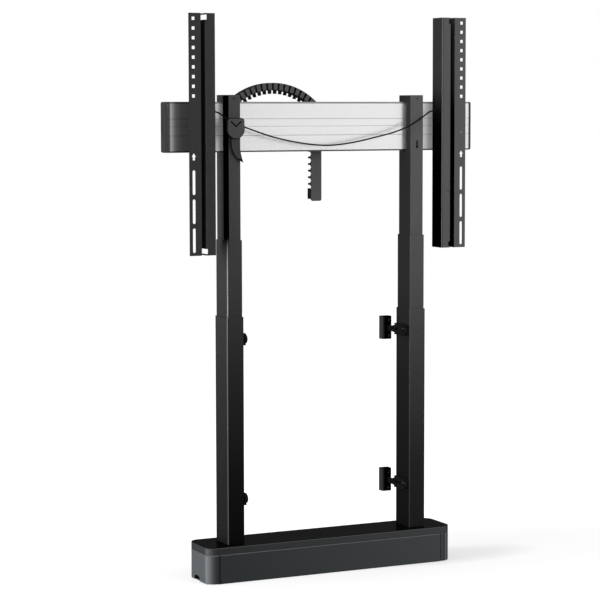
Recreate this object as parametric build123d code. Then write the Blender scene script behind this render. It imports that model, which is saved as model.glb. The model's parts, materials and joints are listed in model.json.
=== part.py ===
from build123d import *
import math
import os

# A lift for a flat screen. Two telescopic columns rise from a long base, a crossbar joins their inner
# tubes, and two folded rails hang on the crossbar. A pull cord opens the rail latches, a cable
# carrier runs up behind the left column, and four stays tie the columns to the wall.
# X runs along the crossbar, Y runs away from the viewer to the wall, Z is up. Millimetres.
# The origin is on the floor under the middle of the base.

os.makedirs("parts", exist_ok=True)

# Clearances and cutting
overrun = 2.0
seat_gap = 0.3
turn_gap = 0.05
screw_gap = 0.2
pad_gap = 0.1
stop_gap = 4.0

# Travel of each stage from the stored height
stage_down = 200.0
stage_up = 125.0

# Base
base_overhang = 95.0
base_side_gap = 4.75
base_height = 99.5
base_corner = 28.0
base_wall = 3.0
base_floor_gap = 2.0
end_reach = 33.0
seam_gap = 0.4
lid_height = 19.5
lid_edge = 1.2
groove_height = 1.0
groove_depth = 1.8
tongue_height = 7.0
tongue_gap = 0.2
lid_hole_gap = 0.8
notch_width = 36.0
notch_height = 15.0
notch_middle_y = 7.0
notch_corner = 10.0
plate_thickness = 5.0
plate_floor_gap = 5.0
plate_notch_reach = 30.0
anchor_spacing_x = 400.0
anchor_spacing_y = 96.0
anchor_radius = 4.5
foot_pad_radius = 18.0
foot_pad_edge = 1.0
foot_stud_radius = 4.0
foot_stud_rise = 12.0
foot_stud_gap = 1.0

# Control box
control_length = 150.0
control_depth = 84.0
control_height = 46.0
control_corner = 5.0
control_socket_width = 14.0
control_socket_height = 10.0
control_socket_depth = 4.0
control_sockets = 3
control_socket_pitch = 30.0

# Columns
column_spacing = 550.0
outer_width = 50.0
outer_depth = 80.0
tube_corner = 5.0
tube_wall = 2.0
tube_gap = 0.5
outer_top = 708.0
middle_top = 912.0
inner_rise = 16.0
glide_height = 60.0
glide_drop = 5.0
glide_margin = 3.0
cap_thickness = 2.0
cap_plug_depth = 10.0
keyhole_rise = 17.0
keyhole_width = 8.5
keyhole_height = 22.0
keyhole_slot_width = 5.0
top_hole_drop = 8.0
top_hole_radius = 2.5

# Column feet
foot_flange_margin = 20.0
foot_flange_thickness = 4.0
foot_flange_corner = 6.0
foot_collar_wall = 4.0
foot_collar_height = 10.0
foot_bolt_margin = 12.0
foot_bolt_radius = 4.0
foot_bolt_head_radius = 6.5
foot_bolt_head_height = 5.0
foot_bolt_socket_radius = 3.0
foot_bolt_socket_depth = 3.0

# Lift drive
motor_radius = 20.0
motor_flange_radius = 21.0
motor_flange_thickness = 6.0
motor_body_length = 100.0
motor_cap_radius = 17.0
motor_cap_length = 8.0
motor_neck_radius = 9.0
motor_floor_gap = 1.0
gearbox_gap = 1.0
gearbox_corner = 3.0
journal_radius = 6.0
journal_depth = 12.0
spindle_radius = 8.0
spindle_clearance = 2.0
hollow_wall = 3.0
hollow_flange_edge = 4.0
hollow_flange_height = 6.0
nut_height = 30.0
nut_spigot_height = 8.0
spindle_reserve = 8.0

# Crossbar
bar_reach = 47.0
bar_front = -8.0
bar_depth = 28.0
bar_bottom = 1144.0
bar_height = 133.0
bar_wall = 2.5
bar_lip_height = 5.0
bar_lip_thickness = 3.0
bar_groove_low_rise = 44.0
bar_groove_middle_rise = 68.0
bar_groove_high_rise = 88.0
bar_groove_width = 1.2
bar_groove_depth = 0.6
bar_cap_thickness = 7.0
bar_cap_corner = 5.0
bar_cap_plug = 10.0
bar_cap_recess_height = 47.0
bar_cap_recess_width = 14.0
bar_cap_recess_depth = 2.0
bar_clamp_width = 30.0
bar_clamp_height = 100.0
bar_screw_spacing = 60.0
bar_screw_radius = 3.0
bar_screw_head_radius = 5.5
bar_screw_head_height = 3.0
bar_screw_reach = 6.0

# Display rails
rail_column_gap = 38.0
rail_box_width = 28.0
rail_groove_width = 12.0
rail_flange_width = 35.0
rail_depth = 52.0
rail_sheet = 2.0
rail_bend = 2.5
rail_drop = 268.0
rail_length = 630.0
square_hole = 8.5
square_hole_edge = 13.0
square_hole_pitch = 25.0
square_hole_drop = 14.25
square_holes = 9
slot_width = 8.0
slot_length = 64.0
slot_pitch = 75.5
slot_rise = 8.0
slots = 3
arrow_width = 12.0
arrow_stem_width = 6.5
arrow_head_height = 10.0
arrow_stem_height = 9.0
arrow_rise = 249.0
corner_cut = 13.0
corner_cut_inset = 4.0
mark_hole_radius = 1.6
mark_hole_rise = 318.0
small_hole_rise = 156.0

# Rail brackets, latches and bushes
bracket_sheet = 3.0
bracket_side_gap = 2.0
bracket_rise = 15.0
bracket_drop = 16.0
hook_thickness = 4.0
latch_thickness = 5.6
latch_pivot_reach = 22.0
latch_pivot_rise = 2.0
latch_hub_radius = 8.0
latch_arm_width = 10.0
latch_arm_reach = 37.0
latch_arm_rise = 101.0
latch_eye_radius = 1.5
latch_jaw_height = 7.0
latch_pin_radius = 3.0
latch_pin_head_radius = 4.5
latch_pin_head_height = 1.2
spring_wire_radius = 0.6
spring_coil_radius = 4.6
spring_turns = 4
bush_reach = 17.0
bush_rise = 107.5
bush_barrel_radius = 4.0
bush_flange_radius = 6.0
bush_flange_thickness = 1.5
bush_tail = 2.0

# Pull cord and grip
cord_radius = 2.0
cord_bend_share = 0.45
grip_x = -275.0
grip_y = -44.5
grip_z = 1207.0
grip_width = 50.0
grip_height = 55.0
grip_thickness = 11.0
grip_shoulder = 8.0
grip_edge = 3.0
grip_parting = 0.2
grip_slit_width = 3.6
grip_slit_depth = 2.5
grip_slit_reach = 14.0
grip_slit_rise = 17.5
grip_slit_drop = 12.0
tail_length = 66.5
tail_overlap = 5.0
tail_root_width = 21.5
tail_root_shift = 1.75
tail_tip_shift = 23.0
tail_outer_shift = -2.5
tail_outer_share = 0.64
tail_inner_shift = 15.5
tail_inner_share = 0.6
tail_thickness = 5.0

# Cable carrier
chain_column_gap = 5.0
chain_column_offset = 5.0
chain_width = 22.0
chain_thickness = 19.0
chain_band = 2.0
chain_pitch = 18.0
chain_link_length = 13.5
chain_wall = 2.0
chain_finger = 3.0
chain_tip_width = 7.0
chain_tip_end_width = 5.5
chain_tip_height = 9.5
chain_tip_depth = 11.5
arch_drop = 4.0
arch_radius = 188.0
arch_left_radius = 84.0
arch_left_turn = 44.6
arch_right_radius = 45.0
arch_right_turn = 48.2
moving_end_rise = 34.0
tray_sheet = 2.0
tray_drop = 136.0
tray_top_drop = 27.0
tray_corner = 5.0
tray_cover = 26.3
end_clamp_height = 29.0
guide_sheet = 1.5
guide_bottom = 100.0
guide_top = 700.0
guide_lip = 14.0

# Wall stays
stay_upper_z = 648.0
stay_lower_z = 218.0
stay_clamp_height = 32.0
stay_clamp_base = 3.0
stay_clamp_lip = 2.5
stay_groove_height = 9.0
arm_sheet = 3.0
arm_height = 24.0
arm_neck_height = 16.0
arm_neck_taper = 8.0
arm_front_inset = 4.0
arm_jog = 6.0
arm_jog_inset = 7.0
arm_jog_run = 10.0
arm_slot_width = 6.5
arm_slot_inset = 3.0
stay_screw_inset = 15.0
stay_screw_radius = 4.0
stay_boss_radius = 13.0
stay_boss_height = 5.5
stay_boss_edge = 1.5
stay_nut_thickness = 1.6
stay_nut_length = 16.0
block_width = 30.0
block_depth = 27.5
block_height = 64.0
block_corner = 7.0
block_gap = 1.0
block_hole_spacing = 44.0
block_hole_radius = 3.0
block_sink_radius = 6.0
block_sink_depth = 8.0

# Derived sizes
column_x = column_spacing / 2
foot_flange_length = outer_width + 2 * foot_flange_margin
foot_flange_depth = outer_depth + 2 * foot_flange_margin
foot_bolt_spacing_x = outer_width + 2 * foot_bolt_margin
foot_bolt_spacing_y = outer_depth + 2 * foot_bolt_margin
base_length = column_spacing + 2 * base_overhang
base_depth = foot_flange_depth + 2 * (base_side_gap + base_wall)
foot_x = column_x + foot_flange_length / 2 + foot_stud_gap + foot_stud_radius
foot_y = foot_flange_depth / 2 - foot_pad_radius
middle_width = outer_width - 2 * (tube_wall + tube_gap)
middle_depth = outer_depth - 2 * (tube_wall + tube_gap)
inner_width = middle_width - 2 * (tube_wall + tube_gap)
inner_depth = middle_depth - 2 * (tube_wall + tube_gap)
plate_top = plate_floor_gap + plate_thickness
lid_bottom = base_height - lid_height
panel_top = lid_bottom - groove_height
motor_z = plate_top + foot_flange_thickness + motor_floor_gap + motor_flange_radius
gearbox_width = outer_width - 2 * (tube_wall + gearbox_gap)
gearbox_depth = outer_depth - 2 * (tube_wall + gearbox_gap)
gearbox_height = 2 * (motor_z - plate_top)
gearbox_top = plate_top + gearbox_height
middle_bottom = gearbox_top + stop_gap + stage_down
hollow_bore_radius = spindle_radius + spindle_clearance
hollow_radius = hollow_bore_radius + hollow_wall
hollow_flange_radius = hollow_radius + hollow_flange_edge
hollow_bottom = middle_bottom + nut_height + seat_gap
inner_bottom = hollow_bottom + hollow_flange_height + stop_gap + stage_down
spindle_top = middle_bottom + nut_height + stage_up + spindle_reserve
hollow_top = inner_bottom + nut_height + stage_up + spindle_reserve
bar_top = bar_bottom + bar_height
bar_rear = bar_front + bar_depth
bar_grooves = (bar_bottom + bar_groove_low_rise, bar_bottom + bar_groove_middle_rise,
               bar_bottom + bar_groove_high_rise)
inner_top = bar_top + inner_rise
keyhole_z = bar_bottom + keyhole_rise
rail_inner_x = column_x + outer_width / 2 + rail_column_gap
rail_bottom = bar_bottom - rail_drop
rail_front = bar_front - rail_depth
rail_box_x = rail_inner_x + rail_box_width
rail_groove_x = rail_box_x + rail_groove_width
rail_outer_x = rail_groove_x + rail_flange_width
rail_top = rail_bottom + rail_length
hole_x = rail_outer_x - square_hole_edge
bar_length = 2 * (rail_outer_x + bar_reach)
bracket_inner_x = rail_inner_x + rail_sheet + bracket_side_gap
bracket_outer_x = rail_box_x - rail_sheet - bracket_side_gap
bracket_front = rail_front + rail_sheet
bracket_rear = bar_front - seat_gap
latch_pivot_y = bar_front - latch_pivot_reach
latch_pivot_z = bar_bottom + latch_pivot_rise
latch_arm_y = bar_front - latch_arm_reach
latch_x = bracket_inner_x + bracket_sheet + seat_gap
latch_end_x = latch_x + latch_thickness
bush_y = bar_front - bush_reach
bush_z = bar_bottom + bush_rise
stay_x = column_x - outer_width / 2
stay_screw_y = stay_screw_inset - outer_depth / 2
arm_front_y = arm_front_inset - outer_depth / 2
arm_jog_start = outer_depth / 2 - arm_jog_inset
arm_jog_end = arm_jog_start + arm_jog_run
arm_slot_end = arm_jog_start - arm_slot_inset
chain_front_y = outer_depth / 2 + chain_column_gap
chain_rear_y = chain_front_y + chain_width
block_front_y = chain_rear_y + block_gap
tray_bottom = bar_bottom - tray_drop
tray_top = bar_top - tray_top_drop
moving_end_z = tray_bottom + moving_end_rise
block_x = stay_x - stay_clamp_base - seat_gap - arm_jog - arm_sheet / 2


def span(x0, x1, y0, y1, z0, z1):
    """A block between two corners."""
    return Pos((x0 + x1) / 2, (y0 + y1) / 2, (z0 + z1) / 2) * Box(x1 - x0, y1 - y0, z1 - z0)


def flat_prism(sketch, low, high):
    """A plan outline raised from one height to another."""
    return extrude(Pos(0, 0, low) * sketch, amount=high - low)


def front_prism(sketch, near, far):
    """An outline seen from the front (x across, z up), from one depth to another."""
    return extrude(Plane.XZ.offset(-far) * sketch, amount=far - near)


def side_prism(sketch, low, high):
    """An outline seen from the side (y across, z up), from one x to another."""
    return extrude(Plane.YZ.offset(low) * sketch, amount=high - low)


def outline(*points):
    """A straight-sided outline through the points."""
    return facing_up(Polygon(*points, align=None))


def upright_bar(x, y, z, radius, height):
    """A round bar that stands up from a point."""
    return Pos(x, y, z) * Cylinder(radius, height, align=(Align.CENTER, Align.CENTER, Align.MIN))


def along_x(x0, x1, y, z, radius):
    """A round bar along X."""
    return side_prism(Pos(y, z) * Circle(radius), x0, x1)


def along_y(y0, y1, x, z, radius):
    """A round bar along Y."""
    return front_prism(Pos(x, z) * Circle(radius), y0, y1)


def mirrored(shape):
    """The same piece on the other side of the lift."""
    return mirror(shape, about=Plane.YZ)


def rounded_plan(length, depth, corner):
    """A plan rectangle with round corners."""
    return RectangleRounded(length, depth, corner)


def tube(width, depth, low, high):
    """A column tube of the right side, with one wall thickness all round."""
    inside = rounded_plan(width - 2 * tube_wall, depth - 2 * tube_wall, tube_corner - tube_wall)
    ring = rounded_plan(width, depth, tube_corner) - inside
    return Pos(column_x, 0, 0) * flat_prism(ring, low, high)


def facing_up(face):
    """The same outline with its front side up, so that it rises when it is extruded."""
    return face if face.faces()[0].normal_at().Z > 0 else -face.faces()[0]


def strut(start, end, width):
    """A flat bar outline with round ends between two points."""
    run = math.dist(start, end)
    turn = math.degrees(math.atan2(end[1] - start[1], end[0] - start[0]))
    middle = ((start[0] + end[0]) / 2, (start[1] + end[1]) / 2)
    return Pos(*middle) * Rot(0, 0, turn) * SlotCenterToCenter(run, width)


# Base

def base_ring():
    """The four upright walls of the base with the tongue that the lid drops over."""
    low = base_floor_gap
    outer = rounded_plan(base_length, base_depth, base_corner)
    bore = rounded_plan(base_length - 2 * base_wall, base_depth - 2 * base_wall, base_corner - base_wall)
    step = groove_depth
    tongue = rounded_plan(base_length - 2 * step, base_depth - 2 * step, base_corner - step)
    walls = flat_prism(outer - bore, low, panel_top)
    return walls + flat_prism(tongue - bore, panel_top, lid_bottom + tongue_height)


def base_side_panels():
    """Front and rear panels between the two end seams."""
    half = base_length / 2 - end_reach - seam_gap / 2
    reach = base_depth / 2 + overrun
    return base_ring() & span(-half, half, -reach, reach, 0, base_height)


def base_end_right():
    """The rounded end moulding."""
    half = base_length / 2 - end_reach + seam_gap / 2
    reach = base_depth / 2 + overrun
    return base_ring() & span(half, base_length / 2 + overrun, -reach, reach, 0, base_height)


def cable_notch():
    """The arched cable notch seen from the end."""
    arch = Pos(notch_middle_y, notch_height / 2) * Rectangle(notch_width, notch_height)
    top = arch.vertices().group_by(Axis.Y)[-1]
    return fillet(top, notch_corner)


def base_end_left():
    """The end moulding with the arched cable notch."""
    notch = side_prism(cable_notch(), -base_length / 2 - overrun, -base_length / 2 + base_wall + overrun)
    return mirrored(base_end_right()) - notch


def base_lid():
    """A skirted cover with a hole for each column."""
    step = groove_depth - tongue_gap
    top = flat_prism(rounded_plan(base_length, base_depth, base_corner), lid_bottom, base_height)
    top = chamfer(top.faces().sort_by(Axis.Z)[-1].edges(), lid_edge)
    hollow = rounded_plan(base_length - 2 * step, base_depth - 2 * step, base_corner - step)
    top -= flat_prism(hollow, lid_bottom - overrun, base_height - base_wall)
    corner = tube_corner + lid_hole_gap
    hole = rounded_plan(outer_width + 2 * lid_hole_gap, outer_depth + 2 * lid_hole_gap, corner)
    for side in (-1, 1):
        top -= Pos(side * column_x, 0, 0) * flat_prism(hole, lid_bottom, base_height + overrun)
    return top


def base_plate():
    """The steel floor plate with anchor, foot and bolt holes."""
    inset = base_wall + seat_gap
    length = base_length - 2 * inset
    plan = rounded_plan(length, base_depth - 2 * inset, base_corner - inset)
    reach = 2 * plate_notch_reach
    plan -= Pos(-length / 2, notch_middle_y) * Rectangle(reach, notch_width)
    plan -= GridLocations(anchor_spacing_x, anchor_spacing_y, 2, 2) * Circle(anchor_radius)
    plan -= GridLocations(2 * foot_x, 2 * foot_y, 2, 2) * Circle(foot_stud_radius + turn_gap)
    for side in (-1, 1):
        bolts = GridLocations(foot_bolt_spacing_x, foot_bolt_spacing_y, 2, 2)
        plan -= Pos(side * column_x, 0) * bolts * Circle(foot_bolt_radius + screw_gap)
    return flat_prism(plan, plate_floor_gap, plate_top)


def levelling_feet():
    """Four pads on screw studs."""
    pad_height = plate_floor_gap - seat_gap
    pad = upright_bar(0, 0, 0, foot_pad_radius, pad_height)
    pad = chamfer(pad.edges().group_by(Axis.Z)[0], foot_pad_edge)
    stud = upright_bar(0, 0, pad_height, foot_stud_radius, seat_gap + plate_thickness + foot_stud_rise)
    foot = pad + stud
    return [place * foot for place in GridLocations(2 * foot_x, 2 * foot_y, 2, 2)]


def control_box():
    """The closed control unit with a row of lead sockets on each end."""
    box = flat_prism(rounded_plan(control_length, control_depth, control_corner),
                     plate_top, plate_top + control_height)
    box = chamfer(box.faces().sort_by(Axis.Z)[-1].edges(), lid_edge)
    socket_z = plate_top + control_height / 2
    for side in (-1, 1):
        for place in GridLocations(0, control_socket_pitch, 1, control_sockets):
            y = place.position.Y
            x = side * control_length / 2
            box -= span(x - control_socket_depth, x + control_socket_depth,
                        y - control_socket_width / 2, y + control_socket_width / 2,
                        socket_z - control_socket_height / 2, socket_z + control_socket_height / 2)
    return box


def lift_gearbox():
    """The angle gearbox that fills the foot of a column."""
    box = Pos(column_x, 0, 0) * flat_prism(rounded_plan(gearbox_width, gearbox_depth, gearbox_corner),
                                           plate_top, gearbox_top)
    bore = journal_radius + turn_gap
    return box - upright_bar(column_x, 0, gearbox_top - journal_depth - seat_gap, bore,
                               journal_depth + seat_gap + overrun)


def lift_motor():
    """The round motor that lies in the base with its neck in the column wall."""
    neck_end = column_x - gearbox_width / 2
    flange = column_x - outer_width / 2 - foot_collar_wall - motor_floor_gap
    body = flange - motor_flange_thickness
    cap = body - motor_body_length
    motor = along_x(flange, neck_end, 0, motor_z, motor_neck_radius)
    motor += along_x(body, flange, 0, motor_z, motor_flange_radius)
    motor += along_x(cap, body, 0, motor_z, motor_radius)
    return motor + along_x(cap - motor_cap_length, cap, 0, motor_z, motor_cap_radius)


def foot_bolt_places():
    """Centres of the bolts of the right foot."""
    return [Pos(column_x, 0) * place for place in
            GridLocations(foot_bolt_spacing_x, foot_bolt_spacing_y, 2, 2)]


def column_foot():
    """The flanged collar round the foot of the right outer tube."""
    flange = rounded_plan(foot_flange_length, foot_flange_depth, foot_flange_corner)
    collar_corner = tube_corner + foot_collar_wall
    collar = rounded_plan(outer_width + 2 * foot_collar_wall, outer_depth + 2 * foot_collar_wall,
                          collar_corner)
    gap = screw_gap
    hole = rounded_plan(outer_width + 2 * gap, outer_depth + 2 * gap, tube_corner + gap)
    flange_top = plate_top + foot_flange_thickness
    foot = flat_prism(flange, plate_top, flange_top)
    foot += flat_prism(collar, flange_top, flange_top + foot_collar_height)
    foot -= flat_prism(hole, plate_top - overrun, flange_top + foot_collar_height + overrun)
    foot = Pos(column_x, 0, 0) * foot
    for place in foot_bolt_places():
        x, y = place.position.X, place.position.Y
        foot -= upright_bar(x, y, plate_top - overrun, foot_bolt_radius + screw_gap,
                              foot_flange_thickness + 2 * overrun)
    return foot


def foot_bolts():
    """Cap screws through the right foot into the floor plate."""
    flange_top = plate_top + foot_flange_thickness
    shank = foot_flange_thickness + plate_thickness
    bolts = []
    for place in foot_bolt_places():
        x, y = place.position.X, place.position.Y
        bolt = upright_bar(x, y, flange_top, foot_bolt_head_radius, foot_bolt_head_height)
        bolt += upright_bar(x, y, flange_top - shank, foot_bolt_radius, shank)
        bolt -= upright_bar(x, y, flange_top + foot_bolt_head_height - foot_bolt_socket_depth,
                              foot_bolt_socket_radius, foot_bolt_socket_depth + overrun)
        bolts.append(bolt)
    return bolts


# Columns

def outer_tube():
    """The fixed tube, with the motor neck hole in its inner side."""
    shell = tube(outer_width, outer_depth, plate_top, outer_top)
    wall_x = column_x - outer_width / 2
    return shell - along_x(wall_x - overrun, wall_x + tube_wall + overrun, 0, motor_z,
                           motor_neck_radius + screw_gap)


def middle_tube():
    """The middle stage."""
    return tube(middle_width, middle_depth, middle_bottom, middle_top)


def inner_tube():
    """The inner stage with the bar windows, keyhole and screw holes."""
    shell = tube(inner_width, inner_depth, inner_bottom, inner_top)
    reach = inner_width / 2 + overrun
    shell -= span(column_x - reach, column_x + reach, bar_front - seat_gap, bar_rear + seat_gap,
                  bar_bottom - seat_gap, bar_top + seat_gap)
    face = -inner_depth / 2
    hole = Pos(column_x, keyhole_z) * (
        Pos(0, (keyhole_width - keyhole_height) / 2) * Circle(keyhole_width / 2)
        + strut((0, (keyhole_width - keyhole_height) / 2),
                (0, (keyhole_height - keyhole_slot_width) / 2), keyhole_slot_width))
    shell -= front_prism(hole, face - overrun, face + tube_wall + overrun)
    shell -= along_y(face - overrun, face + tube_wall + overrun, column_x,
                     inner_top - top_hole_drop, top_hole_radius)
    rear = inner_depth / 2
    for z in bar_screw_levels():
        shell -= along_y(rear - tube_wall - overrun, rear + overrun, column_x, z,
                         bar_screw_radius + screw_gap)
    return shell


def glides(width, depth, top):
    """Thin slide pads on the four inner faces of a tube mouth, right side."""
    half_x = width / 2 - tube_wall
    half_y = depth / 2 - tube_wall
    thickness = tube_gap - pad_gap
    flat_x = width / 2 - tube_corner - glide_margin
    flat_y = depth / 2 - tube_corner - glide_margin
    high = top - glide_drop
    low = high - glide_height
    pads = []
    for side in (-1, 1):
        y0, y1 = sorted((side * half_y, side * (half_y - thickness)))
        pads.append(span(column_x - flat_x, column_x + flat_x, y0, y1, low, high))
        x0, x1 = sorted((side * half_x, side * (half_x - thickness)))
        pads.append(span(column_x + x0, column_x + x1, -flat_y, flat_y, low, high))
    return pads


def plug_plan(width, depth):
    """The outline of a block that fills a tube, less a little clearance."""
    gap = tube_wall + pad_gap
    return rounded_plan(width - 2 * gap, depth - 2 * gap, tube_corner - tube_wall)


def column_cap():
    """The lid on an inner tube with its plug inside."""
    lid = flat_prism(rounded_plan(inner_width, inner_depth, tube_corner), inner_top,
                     inner_top + cap_thickness)
    lid = chamfer(lid.faces().sort_by(Axis.Z)[-1].edges(), cap_thickness / 2)
    plug = flat_prism(plug_plan(inner_width, inner_depth), inner_top - cap_plug_depth, inner_top)
    wall = 2 * tube_wall
    core = rounded_plan(inner_width - 2 * tube_wall - wall, inner_depth - 2 * tube_wall - wall, tube_wall)
    plug -= flat_prism(core, inner_top - cap_plug_depth - overrun, inner_top - cap_thickness)
    return Pos(column_x, 0, 0) * (lid + plug)


def lift_spindle():
    """The lower screw with its journal in the gearbox."""
    journal = upright_bar(column_x, 0, gearbox_top - journal_depth, journal_radius,
                            journal_depth + seat_gap)
    start = gearbox_top + seat_gap
    return journal + upright_bar(column_x, 0, start, spindle_radius, spindle_top - start)


def stage_nut():
    """The nut block in the foot of the middle tube, with a spigot for the hollow screw."""
    block = Pos(column_x, 0, 0) * flat_prism(plug_plan(middle_width, middle_depth), middle_bottom,
                                             middle_bottom + nut_height)
    spigot = upright_bar(column_x, 0, middle_bottom + nut_height, hollow_bore_radius - turn_gap,
                           nut_spigot_height)
    bore = upright_bar(column_x, 0, middle_bottom - overrun, spindle_radius + turn_gap,
                         nut_height + nut_spigot_height + 2 * overrun)
    return block + spigot - bore


def hollow_spindle():
    """The tubular upper screw that turns on the middle stage."""
    screw = upright_bar(column_x, 0, hollow_bottom, hollow_radius, hollow_top - hollow_bottom)
    screw += upright_bar(column_x, 0, hollow_bottom, hollow_flange_radius, hollow_flange_height)
    return screw - upright_bar(column_x, 0, hollow_bottom - overrun, hollow_bore_radius,
                                 hollow_top - hollow_bottom + 2 * overrun)


def carriage_nut():
    """The nut block in the foot of the inner tube."""
    block = Pos(column_x, 0, 0) * flat_prism(plug_plan(inner_width, inner_depth), inner_bottom,
                                             inner_bottom + nut_height)
    return block - upright_bar(column_x, 0, inner_bottom - overrun, hollow_radius + turn_gap,
                                 nut_height + 2 * overrun)


# Crossbar

def bar_screw_levels():
    """Heights of the two screws that hold the bar in each column."""
    middle = bar_bottom + bar_height / 2
    return (middle - bar_screw_spacing / 2, middle + bar_screw_spacing / 2)


def bar_chambers():
    """The hollow chambers of the profile seen from the end, split at the grooves."""
    low = bar_bottom + bar_lip_height
    high = bar_top - bar_lip_height
    levels = (low + bar_wall / 2,) + bar_grooves[::2] + (high - bar_wall / 2,)
    y0, y1 = bar_front + bar_wall, bar_rear - bar_wall
    rooms = []
    for floor, roof in zip(levels[:-1], levels[1:]):
        z0, z1 = floor + bar_wall / 2, roof - bar_wall / 2
        rooms.append(Pos((y0 + y1) / 2, (z0 + z1) / 2) * Rectangle(y1 - y0, z1 - z0))
    return rooms


def bar_outline():
    """The closed profile with a hook lip at its top and bottom front edges."""
    y0, y1 = bar_front, bar_rear
    z0, z1 = bar_bottom, bar_top
    lip_y = y0 + bar_lip_thickness
    return outline((y0, z0), (lip_y, z0), (lip_y, z0 + bar_lip_height), (y1, z0 + bar_lip_height),
                   (y1, z1 - bar_lip_height), (lip_y, z1 - bar_lip_height), (lip_y, z1), (y0, z1))


def crossbar():
    """The extruded bar with its front grooves and screw holes."""
    profile = bar_outline()
    for room in bar_chambers():
        profile -= room
    for z in bar_grooves:
        profile -= Pos(bar_front, z) * Rectangle(2 * bar_groove_depth, bar_groove_width)
    half = bar_length / 2 - bar_cap_thickness
    bar = side_prism(profile, -half, half)
    for side in (-1, 1):
        for z in bar_screw_levels():
            bar -= along_y(bar_rear - bar_wall - overrun, bar_rear + overrun, side * column_x, z,
                           bar_screw_radius + screw_gap)
    return bar


def crossbar_end():
    """The right end cap with its plug in the middle chamber."""
    end = bar_length / 2
    start = end - bar_cap_thickness
    cap = span(start, end, bar_front, bar_rear, bar_bottom, bar_top)
    cap = fillet(cap.faces().sort_by(Axis.X)[-1].edges().filter_by(Axis.Y), bar_cap_corner)
    y = (bar_front + bar_rear) / 2
    z = (bar_grooves[0] + bar_grooves[2]) / 2
    recess = Pos(y, z) * RectangleRounded(bar_cap_recess_width, bar_cap_recess_height, bar_wall)
    cap -= side_prism(recess, end - bar_cap_recess_depth, end + overrun)
    for room in bar_chambers():
        cap += side_prism(offset(room, -seat_gap), start - bar_cap_plug, start)
    return cap


def bar_clamp():
    """The spacer block between the bar and the rear wall of the right inner tube."""
    rear = inner_depth / 2 - tube_wall
    middle = bar_bottom + bar_height / 2
    block = span(column_x - bar_clamp_width / 2, column_x + bar_clamp_width / 2, bar_rear, rear,
                 middle - bar_clamp_height / 2, middle + bar_clamp_height / 2)
    for z in bar_screw_levels():
        block -= along_y(bar_rear - overrun, rear + overrun, column_x, z, bar_screw_radius + screw_gap)
    return block


def bar_screws():
    """The two screws of the right column, with their heads behind the tube."""
    rear = inner_depth / 2
    screws = []
    for z in bar_screw_levels():
        shank = along_y(bar_rear - bar_wall - bar_screw_reach, rear, column_x, z, bar_screw_radius)
        head = along_y(rear, rear + bar_screw_head_height, column_x, z, bar_screw_head_radius)
        head = chamfer(head.edges().sort_by(Axis.Y)[-1], bar_screw_head_height / 3)
        screws.append(shank + head)
    return screws


# Display rails

def rail_section():
    """The folded sheet seen from above: box, groove and flange of the right rail."""
    t = rail_sheet
    a, b, c, d = rail_inner_x, rail_box_x, rail_groove_x, rail_outer_x
    front, back = rail_front, bar_front
    shape = outline((a, back), (a, front), (b, front), (b, back - t), (c, back - t), (c, front),
                    (d, front), (d, front + t), (c + t, front + t), (c + t, back),
                    (b - t, back), (b - t, front + t), (a + t, front + t), (a + t, back))
    bends = [v for v in shape.vertices() if v.Y < front + t / 2 and v.X < d - t]
    return fillet(bends, rail_bend)


def rail_arrow():
    """The upward arrow seen from the front."""
    z = rail_bottom + arrow_rise
    neck = z + arrow_stem_height
    half, stem = arrow_width / 2, arrow_stem_width / 2
    return Pos(hole_x, 0) * outline((-stem, z), (stem, z), (stem, neck), (half, neck),
                                    (0, neck + arrow_head_height), (-half, neck), (-stem, neck))


def display_rail():
    """The right rail with its square holes, slots, arrow and corner cuts."""
    rail = flat_prism(rail_section(), rail_bottom, rail_top)
    cuts = rail_arrow()
    for number in range(square_holes):
        z = rail_top - square_hole_drop - number * square_hole_pitch
        cuts += Pos(hole_x, z) * Rectangle(square_hole, square_hole)
    for number in range(slots):
        z = rail_bottom + slot_rise + slot_length / 2 + number * slot_pitch
        cuts += Pos(hole_x, z) * Rot(0, 0, 90) * SlotOverall(slot_length, slot_width)
    cuts += Pos(hole_x, rail_bottom + mark_hole_rise) * Circle(mark_hole_radius)
    near, far = rail_front - overrun, rail_front + rail_sheet + overrun
    rail -= front_prism(cuts, near, far)
    small = Pos(rail_box_x - rail_box_width / 4, rail_bottom + small_hole_rise) * Circle(mark_hole_radius)
    rail -= front_prism(small, near, far)
    half = corner_cut / 2
    for z in (rail_bottom + corner_cut_inset, rail_top - corner_cut_inset - corner_cut):
        rail -= span(rail_box_x - half, rail_box_x + half, near, bar_front + overrun, z, z + corner_cut)
    return rail - along_x(rail_inner_x - overrun, rail_inner_x + rail_sheet + overrun, bush_y, bush_z,
                          bush_barrel_radius + turn_gap)


def bracket_cheek():
    """A bracket cheek seen from the side, with the tooth that drops behind the bar's upper lip."""
    top = bar_top + bracket_rise
    low = bar_bottom - bracket_drop
    tooth_front = bar_front + bar_lip_thickness + seat_gap
    tooth_rear = tooth_front + hook_thickness
    tooth_low = bar_top - bar_lip_height + seat_gap
    return outline((bracket_front, low), (bracket_rear, low), (bracket_rear, bar_top + seat_gap),
                   (tooth_front, bar_top + seat_gap), (tooth_front, tooth_low),
                   (tooth_rear, tooth_low), (tooth_rear, top - bracket_sheet),
                   (tooth_rear - bracket_sheet, top), (bracket_front, top))


def rail_bracket():
    """The folded hook bracket in the box of the right rail."""
    cheek = bracket_cheek() - Pos(latch_pivot_y, latch_pivot_z) * Circle(latch_pin_radius + turn_gap)
    inner = side_prism(cheek, bracket_inner_x, bracket_inner_x + bracket_sheet)
    outer = side_prism(cheek, bracket_outer_x - bracket_sheet, bracket_outer_x)
    web = span(bracket_inner_x, bracket_outer_x, bracket_front, bracket_front + bracket_sheet,
               bar_bottom - bracket_drop, bar_top + bracket_rise)
    return inner + web + outer


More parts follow.
